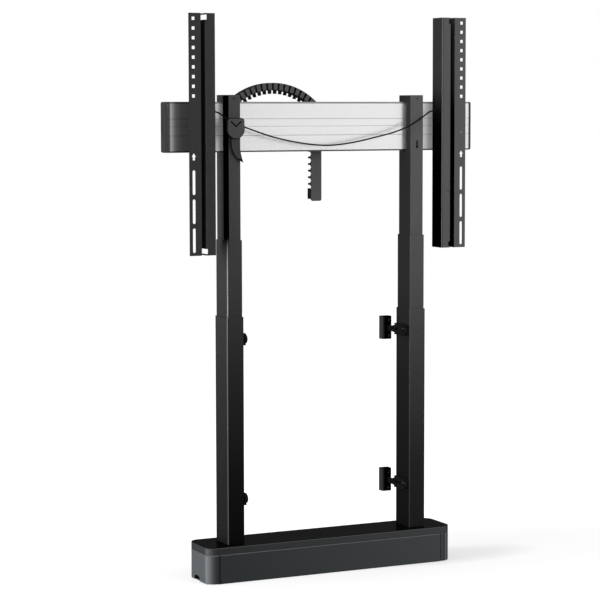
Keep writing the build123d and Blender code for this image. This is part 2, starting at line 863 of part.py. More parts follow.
def latch_pin():
    """The riveted pin through both cheeks."""
    head = latch_pin_head_height
    low = bracket_inner_x - seat_gap
    high = bracket_outer_x + seat_gap
    pin = along_x(low, high, latch_pivot_y, latch_pivot_z, latch_pin_radius)
    pin += along_x(low - head, low, latch_pivot_y, latch_pivot_z, latch_pin_head_radius)
    return pin + along_x(high, high + head, latch_pivot_y, latch_pivot_z, latch_pin_head_radius)


def latch():
    """The right latch lever: hub, pull arm and the jaw that hooks the bar's lower lip."""
    hub = (latch_pivot_y, latch_pivot_z)
    eye = (latch_arm_y, bar_bottom + latch_arm_rise)
    tooth_front = bar_front + bar_lip_thickness + seat_gap
    tooth_rear = tooth_front + hook_thickness
    jaw_top = bar_bottom - seat_gap
    jaw_low = jaw_top - latch_jaw_height
    jaw = outline((hub[0], jaw_low), (tooth_rear, jaw_low),
                  (tooth_rear, bar_bottom + bar_lip_height - seat_gap),
                  (tooth_front, bar_bottom + bar_lip_height - seat_gap), (tooth_front, jaw_top),
                  (hub[0], jaw_top))
    lever = Pos(*hub) * Circle(latch_hub_radius) + strut(hub, eye, latch_arm_width) + jaw
    lever -= Pos(*hub) * Circle(latch_pin_radius + turn_gap)
    lever -= Pos(*eye) * Circle(latch_eye_radius)
    return side_prism(lever, latch_x, latch_end_x)


def latch_spring():
    """The torsion spring on the right latch pin."""
    start = latch_end_x + seat_gap + spring_wire_radius
    end = bracket_outer_x - bracket_sheet - seat_gap - spring_wire_radius
    pitch = (end - start) / spring_turns
    centre = Plane(origin=(start, latch_pivot_y, latch_pivot_z), z_dir=(1, 0, 0))
    path = centre * Helix(pitch, end - start, spring_coil_radius)
    section = Plane(path @ 0, z_dir=path % 0) * Circle(spring_wire_radius)
    return sweep(section, path=path)


def cord_bush():
    """The bush in the inner side of the right rail."""
    bush = along_x(rail_inner_x - bush_flange_thickness, rail_inner_x, bush_y, bush_z,
                   bush_flange_radius)
    bush = chamfer(bush.edges().sort_by(Axis.X)[0], bush_flange_thickness / 2)
    return bush + along_x(rail_inner_x, rail_inner_x + rail_sheet + bush_tail, bush_y, bush_z,
                          bush_barrel_radius)


# Pull cord: the routes are lists of points chosen along the cord

bush_face_x = rail_inner_x - bush_flange_thickness

left_route = [
    (-bush_face_x, -25.0, 1251.5),
    (-324.0, -25.0, 1251.5),
    (-314.0, -33.0, 1246.5),
    (-306.5, -42.0, 1238.0),
    (-297.0, -44.5, 1232.0),
]

right_route = [
    (-252.0, -44.5, 1211.8),
    (-204.0, -43.5, 1195.0),
    (-155.0, -43.0, 1181.0),
    (-105.0, -42.5, 1170.5),
    (-53.0, -42.2, 1163.0),
    (-2.0, -42.0, 1159.5),
    (48.0, -42.0, 1163.5),
    (98.0, -42.3, 1171.5),
    (148.0, -42.5, 1182.5),
    (198.0, -43.2, 1193.5),
    (240.0, -44.0, 1208.0),
    (276.0, -44.0, 1227.0),
    (306.0, -38.0, 1246.0),
    (322.0, -25.0, 1251.5),
    (bush_face_x, -25.0, 1251.5),
]


def bend_radii(route):
    """The largest tangent arc at each inner point of a route."""
    radii = []
    for before, here, after in zip(route, route[1:], route[2:]):
        run_in = Vector(*here) - Vector(*before)
        run_out = Vector(*after) - Vector(*here)
        half_turn = math.radians(run_in.get_angle(run_out)) / 2
        shorter = min(run_in.length, run_out.length)
        radii.append(cord_bend_share * shorter / math.tan(half_turn))
    return radii


def cord(name, route):
    """A round cord along the route, with its size printed."""
    radii = bend_radii(route)
    path = FilletPolyline(*route, radius=radii)
    section = Plane(path @ 0, z_dir=path % 0) * Circle(cord_radius)
    body = sweep(section, path=path)
    share = body.volume / (math.pi * cord_radius ** 2 * path.length)
    print(name, "length", round(path.length, 1), "volume share", round(share, 4),
          "least bend radius", round(min(radii), 1))
    return body


def grip_outline():
    """The shield of the grip seen from the front: square shoulders over a round foot."""
    half, top = grip_width / 2, grip_height / 2
    waist = top / 6
    shoulder = grip_shoulder
    left = Line((-half, waist), (-half, top - shoulder))
    corner_left = RadiusArc((-half, top - shoulder), (shoulder - half, top), shoulder)
    roof = Line((shoulder - half, top), (half - shoulder, top))
    corner_right = RadiusArc((half - shoulder, top), (half, top - shoulder), shoulder)
    right = Line((half, top - shoulder), (half, waist))
    foot = ThreePointArc((half, waist), (0, -top), (-half, waist))
    shield = make_face([left, corner_left, roof, corner_right, right, foot])
    return Pos(grip_x, grip_z) * facing_up(shield)


def grip_front():
    """The front shell with the V-shaped slit under its top flap."""
    front = grip_y - grip_thickness / 2
    parting = grip_y - grip_parting / 2
    shell = front_prism(grip_outline(), front, parting)
    shell = fillet(shell.faces().sort_by(Axis.Y)[0].edges(), grip_edge)
    reach, slit_z = grip_slit_reach, grip_z + grip_slit_rise
    foot = (grip_x, slit_z - grip_slit_drop)
    slit = strut((grip_x - reach, slit_z), foot, grip_slit_width)
    slit += strut(foot, (grip_x + reach, slit_z), grip_slit_width)
    return shell - front_prism(slit, front - overrun, front + grip_slit_depth)


def grip_back():
    """The rear shell."""
    parting = grip_y + grip_parting / 2
    rear = grip_y + grip_thickness / 2
    shell = front_prism(grip_outline(), parting, rear)
    return fillet(shell.faces().sort_by(Axis.Y)[-1].edges(), grip_edge)


def grip_tail():
    """The curved leaf that hangs from the foot of the grip."""
    top = grip_z - grip_height / 2 + tail_overlap
    low = top - tail_length
    left = grip_x + tail_root_shift - tail_root_width / 2
    right = grip_x + tail_root_shift + tail_root_width / 2
    tip = (grip_x + tail_tip_shift, low)
    outer_middle = (grip_x + tail_outer_shift, top - tail_outer_share * tail_length)
    inner_middle = (grip_x + tail_inner_shift, top - tail_inner_share * tail_length)
    outer = ThreePointArc((left, top), outer_middle, tip)
    inner = ThreePointArc(tip, inner_middle, (right, top))
    roof = Line((right, top), (left, top))
    rear = grip_y + grip_thickness / 2 + seat_gap / 2
    leaf = front_prism(facing_up(make_face([outer, inner, roof])), rear - tail_thickness, rear)
    return leaf - front_prism(offset(grip_outline(), seat_gap / 2), grip_y - grip_thickness, rear + overrun)


# Cable carrier. The band line is its outer edge, seen from the front.

def on_circle(middle, radius, angle):
    """A point on a circle seen from the front."""
    return (middle[0] + radius * math.cos(angle), middle[1] + radius * math.sin(angle))


# The directions, seen from the big arc's middle, at which the shoulder arcs take over
left_turn = math.pi - math.radians(arch_left_turn)
right_turn = math.radians(arch_right_turn)
arch_left_x = -column_x - chain_column_offset
arch_middle_x = arch_left_x + arch_left_radius - (arch_radius - arch_left_radius) * math.cos(left_turn)
arch_middle = (arch_middle_x, bar_bottom - arch_drop)
left_middle = on_circle(arch_middle, arch_radius - arch_left_radius, left_turn)
right_middle = on_circle(arch_middle, arch_radius - arch_right_radius, right_turn)
arch_right_x = right_middle[0] + arch_right_radius
tray_edge_x = arch_right_x - tray_cover


def band_points(inset):
    """Ends and middles of the three arcs of the bend, at a depth under the band line."""
    top_turn = (left_turn + right_turn) / 2
    stops = [
        (left_middle, arch_left_radius, math.pi),
        (left_middle, arch_left_radius, (math.pi + left_turn) / 2),
        (arch_middle, arch_radius, left_turn),
        (arch_middle, arch_radius, top_turn),
        (arch_middle, arch_radius, right_turn),
        (right_middle, arch_right_radius, right_turn / 2),
        (right_middle, arch_right_radius, 0.0),
    ]
    return [on_circle(middle, radius - inset, angle) for middle, radius, angle in stops]


def band_arcs(inset):
    """The bend as three tangent arcs, from the left leg to the right leg."""
    p = band_points(inset)
    return [ThreePointArc(p[0], p[1], p[2]), ThreePointArc(p[2], p[3], p[4]),
            ThreePointArc(p[4], p[5], p[6])]


def bend_strip(outer_inset, inner_inset):
    """The strip of the bend between two depths under the band line."""
    outer = band_arcs(outer_inset)
    inner = band_arcs(inner_inset)
    first = Line(inner[0] @ 0, outer[0] @ 0)
    last = Line(outer[2] @ 1, inner[2] @ 1)
    return facing_up(make_face(outer + [first, last] + inner))


def link_block(point, angle):
    """The block of one link under the band. The angle is the way of travel."""
    half = chain_link_length / 2
    block = outline((-half, 0), (half, 0), (half, -chain_thickness), (-half, -chain_thickness))
    return Pos(*point) * Rot(0, 0, math.degrees(angle)) * block


def link_tip(point, angle):
    """The tapered finger under the block of one link."""
    root, end = chain_tip_width / 2, chain_tip_end_width / 2
    high = chain_finger - chain_thickness
    low = -chain_thickness - chain_tip_height
    tip = outline((-root, high), (root, high), (end, low), (-end, low))
    return Pos(*point) * Rot(0, 0, math.degrees(angle)) * tip


def bend_stations():
    """Evenly spaced places along the band line of the bend, with the way of travel."""
    pieces = [
        (left_middle, arch_left_radius, math.pi, left_turn),
        (arch_middle, arch_radius, left_turn, right_turn),
        (right_middle, arch_right_radius, right_turn, 0.0),
    ]
    total = sum(radius * (start - end) for _, radius, start, end in pieces)
    count = round(total / chain_pitch)
    pitch = total / count
    places = []
    for number in range(count):
        distance = (number + 1 / 2) * pitch
        for middle, radius, start, end in pieces:
            run = radius * (start - end)
            if distance <= run:
                angle = start - distance / radius
                places.append((on_circle(middle, radius - chain_band / 2, angle), angle - math.pi / 2))
                break
            distance -= run
    return places


def carrier(strip, duct, places):
    """Band and links between the front and rear walls, with the cable duct open all along."""
    side = strip
    tips = []
    for point, angle in places:
        side += link_block(point, angle)
        tips.append(link_tip(point, angle))
    body = front_prism(side, chain_front_y, chain_rear_y)
    for tip in tips:
        body += front_prism(tip, chain_front_y, chain_front_y + chain_tip_depth)
    return body - front_prism(duct, chain_front_y + chain_wall, chain_rear_y - chain_wall)


def chain_arch():
    """The bend that rides at half the carriage's speed."""
    duct = bend_strip(chain_band, chain_thickness - chain_finger)
    return carrier(bend_strip(0, chain_band), duct, bend_stations())


def leg(edge_x, low, high, side):
    """An upright leg. The side is that of the band: -1 for the left, 1 for the right."""
    length = high - low
    middle = (low + high) / 2
    strip = Pos(edge_x - side * chain_band / 2, middle) * Rectangle(chain_band, length)
    duct_width = chain_thickness - chain_finger - chain_band
    duct = Pos(edge_x - side * (chain_band + duct_width / 2), middle) * Rectangle(
        duct_width, length + 2 * overrun)
    count = int(length / chain_pitch)
    first = low + (length - (count - 1) * chain_pitch) / 2
    turn = -side * math.pi / 2
    places = [((edge_x - side * chain_band / 2, first + number * chain_pitch), turn)
              for number in range(count)]
    return carrier(strip, duct, places)


def chain_fixed_leg():
    """The leg behind the left column."""
    return leg(arch_left_x, guide_bottom + guide_sheet + seat_gap, left_middle[1] - seat_gap, -1)


def chain_moving_leg():
    """The leg behind the crossbar, down to its end block."""
    return leg(arch_right_x, moving_end_z + seat_gap, right_middle[1] - seat_gap, 1)


def chain_tray():
    """The upright channel on the bar's rear that keeps the moving leg in line."""
    front = chain_front_y - seat_gap
    rear = chain_rear_y + seat_gap
    wall_x = arch_right_x + seat_gap
    edge = wall_x + tray_sheet
    width = edge - tray_edge_x
    face = Pos((edge + tray_edge_x) / 2, (tray_bottom + tray_top) / 2) * RectangleRounded(
        width, tray_top - tray_bottom, tray_corner)
    tray = front_prism(face, front - tray_sheet, front)
    tray += front_prism(face, rear, rear + tray_sheet)
    tray += span(wall_x, edge, front - tray_sheet, rear + tray_sheet,
                 tray_bottom + tray_corner, tray_top - tray_corner)
    foot = span(tray_edge_x + tray_corner, wall_x, front, rear, tray_bottom, tray_bottom + tray_sheet)
    mount_low = bar_bottom + bar_lip_height + tray_corner
    mount_high = bar_top - bar_lip_height - tray_corner
    spacer = span(tray_edge_x + tray_sheet, edge - tray_sheet, bar_rear, front - tray_sheet,
                  mount_low, mount_high)
    return tray + foot + spacer


def chain_end_clamp():
    """The block in the foot of the tray that holds the moving end."""
    low = tray_bottom + tray_sheet + seat_gap
    high = moving_end_z
    inner = arch_right_x - chain_thickness
    block = span(inner - chain_tip_height, arch_right_x, chain_front_y, chain_rear_y,
                 high - end_clamp_height, high)
    block = fillet(block.faces().sort_by(Axis.X)[0].edges().filter_by(Axis.Y), chain_band / 2)
    base = span(inner, arch_right_x, chain_front_y, chain_rear_y, low, high - end_clamp_height)
    duct = span(inner + chain_finger, arch_right_x - chain_band,
                chain_front_y + chain_wall, chain_rear_y - chain_wall, low - overrun, high + overrun)
    return block + base - duct


def chain_guide():
    """The channel on the rear of the left outer tube, open towards the middle of the lift."""
    tube_rear = outer_depth / 2
    left = arch_left_x - seat_gap - guide_sheet
    right = arch_left_x + chain_thickness
    rear = chain_rear_y + seat_gap
    plate = span(left, right, tube_rear, tube_rear + guide_sheet, guide_bottom, guide_top)
    wall = span(left, left + guide_sheet, tube_rear, rear + guide_sheet, guide_bottom, guide_top)
    lip = span(left, left + guide_lip, rear, rear + guide_sheet, guide_bottom, guide_top)
    foot = span(left, right, tube_rear, rear + guide_sheet, guide_bottom, guide_bottom + guide_sheet)
    return plate + wall + lip + foot


# Wall stays. Each is made at the upper right and copied to its place.

def stay_clamp():
    """The guide plate on the inner side of the right outer tube."""
    face = stay_x
    half = outer_depth / 2 - tube_wall
    low, high = -stay_clamp_height / 2, stay_clamp_height / 2
    inner = face - stay_clamp_base
    deep = inner - seat_gap - arm_sheet
    plate = span(inner, face, -half, half, low, high)
    edge = arm_height / 2 + seat_gap
    plate += span(deep, inner, -half, half, edge, high)
    plate += span(deep, inner, -half, half, low, -edge)
    groove_depth_x = stay_nut_thickness + seat_gap
    plate -= span(face - groove_depth_x, face, -half - overrun, half + overrun,
                  -stay_nut_length / 2 - seat_gap, stay_nut_length / 2 + seat_gap)
    plate -= span(inner - overrun, face + overrun, -half + stay_clamp_lip, half - stay_clamp_lip,
                  -stay_groove_height / 2, stay_groove_height / 2)
    return plate


def stay_arm():
    """The flat arm with its slot, jog and the seat in the wall block."""
    face = stay_x - stay_clamp_base - seat_gap
    back = block_front_y + block_depth / 2
    near, far = face - arm_sheet, face
    shift = arm_jog
    plan = outline((near, arm_front_y), (far, arm_front_y), (far, arm_jog_start),
                   (far - shift, arm_jog_end), (far - shift, back), (near - shift, back),
                   (near - shift, arm_jog_end), (near, arm_jog_start))
    half, neck = arm_height / 2, arm_neck_height / 2
    taper = arm_jog_start + arm_neck_taper
    arm = flat_prism(plan, -half, half)
    arm &= side_prism(outline((arm_front_y, -half), (arm_jog_start, -half), (taper, -neck), (back, -neck),
                              (back, neck), (taper, neck), (arm_jog_start, half), (arm_front_y, half)),
                      near - shift, far)
    slot_start = stay_screw_y + stay_boss_radius + arm_slot_width
    slot_middle = (slot_start + arm_slot_end) / 2
    slot = Pos(slot_middle, 0) * SlotOverall(arm_slot_end - slot_start, arm_slot_width)
    arm -= side_prism(slot, near - overrun, far + overrun)
    return arm - along_x(near - overrun, far + overrun, stay_screw_y, 0, stay_screw_radius + screw_gap)


def stay_screw():
    """The clamp screw with its round boss and the square nut in the guide plate."""
    face = stay_x - stay_clamp_base - seat_gap
    outside = face - arm_sheet
    boss = along_x(outside - stay_boss_height, outside, stay_screw_y, 0, stay_boss_radius)
    boss = chamfer(boss.edges().sort_by(Axis.X)[0], stay_boss_edge)
    socket = outside - stay_boss_height
    boss -= along_x(socket - overrun, socket + stay_boss_height / 2, stay_screw_y, 0, stay_screw_radius)
    shank = along_x(outside, stay_x - stay_nut_thickness, stay_screw_y, 0, stay_screw_radius)
    nut = span(stay_x - stay_nut_thickness, stay_x - seat_gap / 2,
               stay_screw_y - stay_nut_length / 2, stay_screw_y + stay_nut_length / 2,
               -stay_nut_length / 2, stay_nut_length / 2)
    return boss + shank + nut


def wall_block():
    """The round-cornered block at the wall with its two screw holes."""
    far = block_front_y + block_depth
    plan = Pos(block_x, (block_front_y + far) / 2) * RectangleRounded(block_width, block_depth,
                                                                     block_corner)
    block = flat_prism(plan, -block_height / 2, block_height / 2)
    for side in (-1, 1):
        z = side * block_hole_spacing / 2
        block -= along_y(block_front_y - overrun, far + overrun, block_x, z, block_hole_radius)
        block -= along_y(block_front_y - overrun, block_front_y + block_sink_depth, block_x, z,
                         block_sink_radius)
    return block - span(block_x - arm_sheet / 2, block_x + arm_sheet / 2, block_front_y - overrun,
                        block_front_y + block_depth / 2, -arm_neck_height / 2, arm_neck_height / 2)


# Every node with its solids

def pair(shape):
    """Left and right copies of a right-hand piece."""
    shapes = shape if isinstance(shape, list) else [shape]
    return [mirrored(one) for one in shapes] + shapes


nodes = {
    "base_side_panels": base_side_panels(),
    "base_end_left": base_end_left(),
    "base_end_right": base_end_right(),
    "base_lid": base_lid(),
    "base_plate": base_plate(),
    "levelling_feet": levelling_feet(),
    "control_box": control_box(),
    "lift_gearboxes": pair(lift_gearbox()),
    "lift_motors": pair(lift_motor()),
    "column_feet": pair(column_foot()),
    "foot_bolts": pair(foot_bolts()),
    "outer_glides": pair(glides(outer_width, outer_depth, outer_top)),
    "carriage_nuts": pair(carriage_nut()),
    "column_caps": pair(column_cap()),
    "crossbar": crossbar(),
    "crossbar_ends": pair(crossbar_end()),
    "bar_clamps": pair(bar_clamp()),
    "bar_screws": pair(bar_screws()),
    "rail_brackets": pair([rail_bracket(), latch_pin()]),
    "latch_springs": pair(latch_spring()),
    "cord_bushes": pair(cord_bush()),
    "cord_left": cord("cord_left", left_route),
    "cord_right": cord("cord_right", right_route),
    "grip_front": grip_front(),
    "grip_back": grip_back(),
    "grip_tail": grip_tail(),
    "chain_arch": chain_arch(),
    "chain_fixed_leg": chain_fixed_leg(),
    "chain_moving_leg": chain_moving_leg(),
    "chain_tray": chain_tray(),
    "chain_end_clamp": chain_end_clamp(),
    "chain_guide": chain_guide(),
}

sided = {
    "outer_tube": outer_tube(),
    "middle_tube": middle_tube(),
    "middle_glides": glides(middle_width, middle_depth, middle_top),
    "inner_tube": inner_tube(),
    "lift_spindle": lift_spindle(),
    "stage_nut": stage_nut(),
    "hollow_spindle": hollow_spindle(),
    "display_rail": display_rail(),
    "latch": latch(),
}
for name, shape in sided.items():
    shapes = shape if isinstance(shape, list) else [shape]
    nodes[name + "_right"] = shapes
    nodes[name + "_left"] = [mirrored(one) for one in shapes]

clamps = []
for level, z in (("upper", stay_upper_z), ("lower", stay_lower_z)):
    clamps += pair(Pos(0, 0, z) * stay_clamp())
    arm = [Pos(0, 0, z) * stay_arm(), Pos(0, 0, z) * stay_screw()]
    block = Pos(0, 0, z) * wall_block()
    nodes["wall_arm_" + level + "_right"] = arm
    nodes["wall_arm_" + level + "_left"] = [mirrored(one) for one in arm]
    nodes["wall_block_" + level + "_right"] = block
    nodes["wall_block_" + level + "_left"] = mirrored(block)
nodes["wall_clamps"] = clamps

for name, shape in nodes.items():
    solids = []
    for one in shape if isinstance(shape, list) else [shape]:
        solids += one.solids()
    export_step(Compound(children=solids), "parts/" + name + ".step")
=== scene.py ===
"""Dressed model of a telescopic lift for a flat screen.

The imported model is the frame. This script gives every node its finish, rounds the folded and moulded
edges, and makes the pull cord, its grip and the legs of the cable carrier. Lengths are in metres.
X runs along the crossbar, Y runs away from the viewer, Z is up.
"""

import json
import logging
import math
from dataclasses import dataclass, field
from enum import Enum
from typing import Any, Callable, Iterable, Sequence

import bmesh
import bpy
from mathutils import Matrix, Vector

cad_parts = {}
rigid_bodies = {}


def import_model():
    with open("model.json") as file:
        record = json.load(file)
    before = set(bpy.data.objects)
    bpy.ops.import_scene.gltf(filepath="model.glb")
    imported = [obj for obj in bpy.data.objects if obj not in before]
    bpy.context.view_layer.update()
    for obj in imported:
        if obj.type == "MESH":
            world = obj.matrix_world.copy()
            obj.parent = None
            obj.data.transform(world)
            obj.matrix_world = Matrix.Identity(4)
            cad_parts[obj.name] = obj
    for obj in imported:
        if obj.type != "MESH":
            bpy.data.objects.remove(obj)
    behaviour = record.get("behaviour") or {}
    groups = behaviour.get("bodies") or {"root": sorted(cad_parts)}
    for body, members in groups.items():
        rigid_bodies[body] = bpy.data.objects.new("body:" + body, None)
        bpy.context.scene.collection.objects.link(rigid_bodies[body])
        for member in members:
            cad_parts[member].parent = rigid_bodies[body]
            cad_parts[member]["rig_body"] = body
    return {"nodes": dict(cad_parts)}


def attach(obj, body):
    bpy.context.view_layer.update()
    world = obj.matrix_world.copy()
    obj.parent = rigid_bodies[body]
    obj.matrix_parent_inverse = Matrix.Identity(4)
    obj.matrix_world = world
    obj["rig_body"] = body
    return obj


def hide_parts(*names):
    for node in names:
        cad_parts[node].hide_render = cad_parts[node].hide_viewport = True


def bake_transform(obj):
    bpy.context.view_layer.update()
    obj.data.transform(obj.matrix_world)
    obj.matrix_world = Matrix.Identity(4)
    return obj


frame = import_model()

LOG = logging.getLogger("screen_lift")
MM = 0.001
SIDES = ("left", "right")
LEVELS = ("upper", "lower")
WHITE = (1.0, 1.0, 1.0, 1.0)
BLACK = (0.0, 0.0, 0.0, 1.0)
FACING = "facing"
MERGE_DISTANCE = 0.001 * MM
FLAT_ANGLE = math.radians(1.0)
EDGE_ANGLE = math.radians(40.0)
SMOOTH_ANGLE = math.radians(35.0)
Shade = tuple[float, float, float]
Point = tuple[float, float, float]
Stops = tuple[tuple[float, float], ...]
Bands = tuple[tuple[float, float, Shade], ...]


def linear(shade: Sequence[float]) -> tuple[float, float, float, float]:
    """Turn a display colour of 0 to 255 into a linear one.

    Args:
        shade: red, green and blue as a display shows them.

    Returns:
        Linear red, green, blue and an alpha of 1.
    """
    parts = []
    for value in shade:
        share = value / 255.0
        parts.append(share / 12.92 if share <= 0.04045 else ((share + 0.055) / 1.055) ** 2.4)
    return (parts[0], parts[1], parts[2], 1.0)


class Value:
    """A number socket of a material, so that shader maths is written as Python expressions."""

    def __init__(self, sheet: "Sheet", socket: Any) -> None:
        """Keep the socket and the sheet that its nodes go on."""
        self.sheet = sheet
        self.socket = socket

    def _maths(self, operation: str, first: Any, second: Any) -> "Value":
        """Add a Math node and return its result."""
        return self.sheet.add("ShaderNodeMath", {"operation": operation}, {0: first, 1: second})

    def __add__(self, other: Any) -> "Value":
        """This plus other."""
        return self._maths("ADD", self, other)

    def __radd__(self, other: Any) -> "Value":
        """Other plus this."""
        return self._maths("ADD", other, self)

    def __sub__(self, other: Any) -> "Value":
        """This less other."""
        return self._maths("SUBTRACT", self, other)

    def __rsub__(self, other: Any) -> "Value":
        """Other less this."""
        return self._maths("SUBTRACT", other, self)

    def __mul__(self, other: Any) -> "Value":
        """This times other."""
        return self._maths("MULTIPLY", self, other)

    def __rmul__(self, other: Any) -> "Value":
        """Other times this."""
        return self._maths("MULTIPLY", other, self)

    def above(self, limit: float) -> "Value":
        """1 where this is over the limit, and 0 elsewhere."""
        return self._maths("GREATER_THAN", self, limit)

    def below(self, limit: float) -> "Value":
        """1 where this is under the limit, and 0 elsewhere."""
        return self._maths("LESS_THAN", self, limit)

    def between(self, low: float, high: float) -> "Value":
        """1 between two limits, and 0 elsewhere."""
        return self.above(low) * self.below(high)


class Sheet:
    """The node sheet of one material or world."""

    def __init__(self, owner: Any) -> None:
        """Start an empty sheet on a material or world.

        Args:
            owner: the material or world whose nodes are made.
        """
        owner.use_nodes = True
        self.tree = owner.node_tree
        self.tree.nodes.clear()

    def add(self, kind: str, settings: dict | None = None, inputs: dict | None = None,
            output: int | str = 0) -> Value:
        """Add one node.

        Args:
            kind: the node's type.
            settings: properties set before the sockets, and ramp stops under "stops".
            inputs: a value or a link for each socket, by name or number.
            output: the output to return.

        Returns:
            The chosen output.
        """
        node = self.tree.nodes.new(kind)
        for name, value in (settings or {}).items():
            if name == "stops":
                self._stops(node.color_ramp, value)
            else:
                setattr(node, name, value)
        for name, value in (inputs or {}).items():
            if isinstance(value, Value):
                self.tree.links.new(value.socket, node.inputs[name])
            else:
                node.inputs[name].default_value = value
        return Value(self, node.outputs[output]) if node.outputs else Value(self, None)

    @staticmethod
    def _stops(ramp: Any, stops: Sequence[tuple[float, Sequence[float]]]) -> None:
        """Set the places and colours of a colour ramp.

        Args:
            ramp: the ramp, as a new node has it.
            stops: a place of 0 to 1 and a colour for each stop, lowest first.
        """
        while len(ramp.elements) < len(stops):
            ramp.elements.new(1.0)
        for element, (place, colour) in zip(ramp.elements, stops):
            element.position = place
            element.color = colour

    def place(self) -> Value:
        """The point of the surface in the object's own frame."""
        return self.add("ShaderNodeTexCoord", output="Object")

    def split(self, vector: Value, axis: int) -> Value:
        """One coordinate of a vector."""
        return self.add("ShaderNodeSeparateXYZ", inputs={0: vector}, output=axis)

    def along(self, axis: int) -> Value:
        """The point's coordinate on one axis."""
        return self.split(self.place(), axis)

    def facing(self, axis: int) -> Value:
        """One coordinate of the direction that a face looks in."""
        direction = self.add("ShaderNodeAttribute", {"attribute_name": FACING}, output="Vector")
        return self.split(direction, axis)

    def noise(self, scale: float, detail: float = 3.0, stretch: Point = (1.0, 1.0, 1.0)) -> Value:
        """Noise over the surface.

        Args:
            scale: spots in a metre.
            detail: layers of finer noise.
            stretch: factor on each axis, where a small factor draws the noise out.

        Returns:
            A value about 0.5.
        """
        spot = self.add("ShaderNodeMapping", {"vector_type": "POINT"},
                        {"Vector": self.place(), "Scale": stretch})
        return self.add("ShaderNodeTexNoise", None,
                        {"Vector": spot, "Scale": scale, "Detail": detail, "Roughness": 0.6})

    def mix(self, share: Any, first: Any, second: Any) -> Value:
        """A colour between two colours."""
        return self.add("ShaderNodeMix", {"data_type": "RGBA"}, {0: share, 6: first, 7: second}, 2)

    def scaled(self, share: Any, colour: Any) -> Value:
        """A colour times a number."""
        return self.mix(share, BLACK, colour)

    def banded(self, colour: Any, axis: int, bands: Bands, where: Value | None = None) -> Any:
        """A colour with bands of other shades across one axis.

        Args:
            colour: the colour without them.
            axis: 0, 1 or 2 for X, Y or Z.
            bands: the low end, the high end and the shade of each band.
            where: 1 where the bands show, or None for all over.

        Returns:
            The colour with them.
        """
        place = self.along(axis)
        for low, high, shade in bands:
            inside = place.between(low, high)
            colour = self.mix(inside if where is None else inside * where, colour, linear(shade))
        return colour

    def shares(self, value: Value, stops: Stops) -> Value:
        """Lead a value through stops.

        Args:
            value: a value of 0 to 1.
            stops: places of 0 to 1, lowest first, each with its share.

        Returns:
            The share at each point of the surface.
        """
        colours = [(place, (share, share, share, 1.0)) for place, share in stops]
        colour = self.add("ShaderNodeValToRGB", {"stops": colours}, {0: value})
        return self.add("ShaderNodeRGBToBW", None, {0: colour})

    def ramp(self, axis: int, stops: Stops) -> Value:
        """A value that runs through stops along one axis.

        Args:
            axis: 0, 1 or 2 for X, Y or Z.
            stops: places along the axis, lowest first, each with its value.

        Returns:
            The value at each point of the surface.
        """
        low, span = stops[0][0], stops[-1][0] - stops[0][0]
        part = (self.along(axis) - low) * (1.0 / span)
        return self.shares(part, tuple(((place - low) / span, share) for place, share in stops))

    def ramp_up(self, value: Value, low: float, high: float) -> Value:
        """0 below one limit, 1 above the other, and a soft step between them."""
        return self.add("ShaderNodeMapRange", {"interpolation_type": "SMOOTHSTEP"},
                        {"Value": value, "From Min": low, "From Max": high})

    def bump(self, height: Value, strength: float, distance: float) -> Value:
        """A normal from a height."""
        return self.add("ShaderNodeBump", None,
                        {"Height": height, "Strength": strength, "Distance": distance}, "Normal")

    def finish(self, sockets: dict) -> None:
        """Add the surface shader with its sockets and the output."""
        shader = self.add("ShaderNodeBsdfPrincipled", None, sockets)
        self.add("ShaderNodeOutputMaterial", None, {"Surface": shader})


@dataclass(frozen=True)
class PaintedShade:
    """A painted shade: a share that changes with height, as stops of height and share, for left faces and
    the others.
    """

    faces: Stops
    left_faces: Stops
    left_limit: float = -0.6

    def level(self, sheet: Sheet) -> Value:
        """The share at each point of the surface."""
        one, other = sheet.ramp(2, self.faces), sheet.ramp(2, self.left_faces)
        return one + (other - one) * sheet.facing(0).below(self.left_limit)


@dataclass(frozen=True)
class PaintedShadowBand:
    """A soft painted shadow on the left faces, above a height and between two depths."""

    front_y: float
    rear_y: float
    bottom_z: float
    soft: float = 6.0 * MM
    soft_bottom: float = 36.0 * MM
    left_limit: float = -0.05

    def level(self, sheet: Sheet) -> Value:
        """Work out where the painted shadow is.

        Args:
            sheet: the material's sheet.

        Returns:
            1 off the painted shadow and 0 in it.
        """
        depth, height = sheet.along(1), sheet.along(2)
        inside = sheet.ramp_up(depth, self.front_y - self.soft, self.front_y) * (
            1.0 - sheet.ramp_up(depth, self.rear_y, self.rear_y + self.soft))
        low_end = sheet.ramp_up(height, self.bottom_z, self.bottom_z + self.soft_bottom)
        return 1.0 - inside * low_end * sheet.facing(0).below(self.left_limit)


@dataclass(frozen=True)
class PaintedCornerSheen:
    """A painted highlight along the rounded front left corner of a tube, with a line of painted shade
    beside it.

    stops are heights and how light the line is there. The limits tell the corner's faces by where they
    look: front_limit and left_limit for the whole corner, and light_from and light_to for the light line.
    """

    stops: Stops
    dark_share: float = 0.35
    front_limit: float = -0.3
    left_limit: float = -0.05
    light_from: float = -0.92
    light_to: float = -0.42

    def apply(self, sheet: Sheet, colour: Value) -> Value:
        """Add the line to a colour.

        Args:
            sheet: the material's sheet.
            colour: the colour without it.

        Returns:
            The colour with it.
        """
        side, front = sheet.facing(0), sheet.facing(1)
        corner = front.below(self.front_limit) * side.below(self.left_limit)
        light = corner * side.between(self.light_from, self.light_to)
        dark = corner * side.above(self.light_to)
        colour = sheet.mix(dark, colour, sheet.scaled(self.dark_share, colour))
        return sheet.mix(light, colour, sheet.scaled(sheet.ramp(2, self.stops), WHITE))


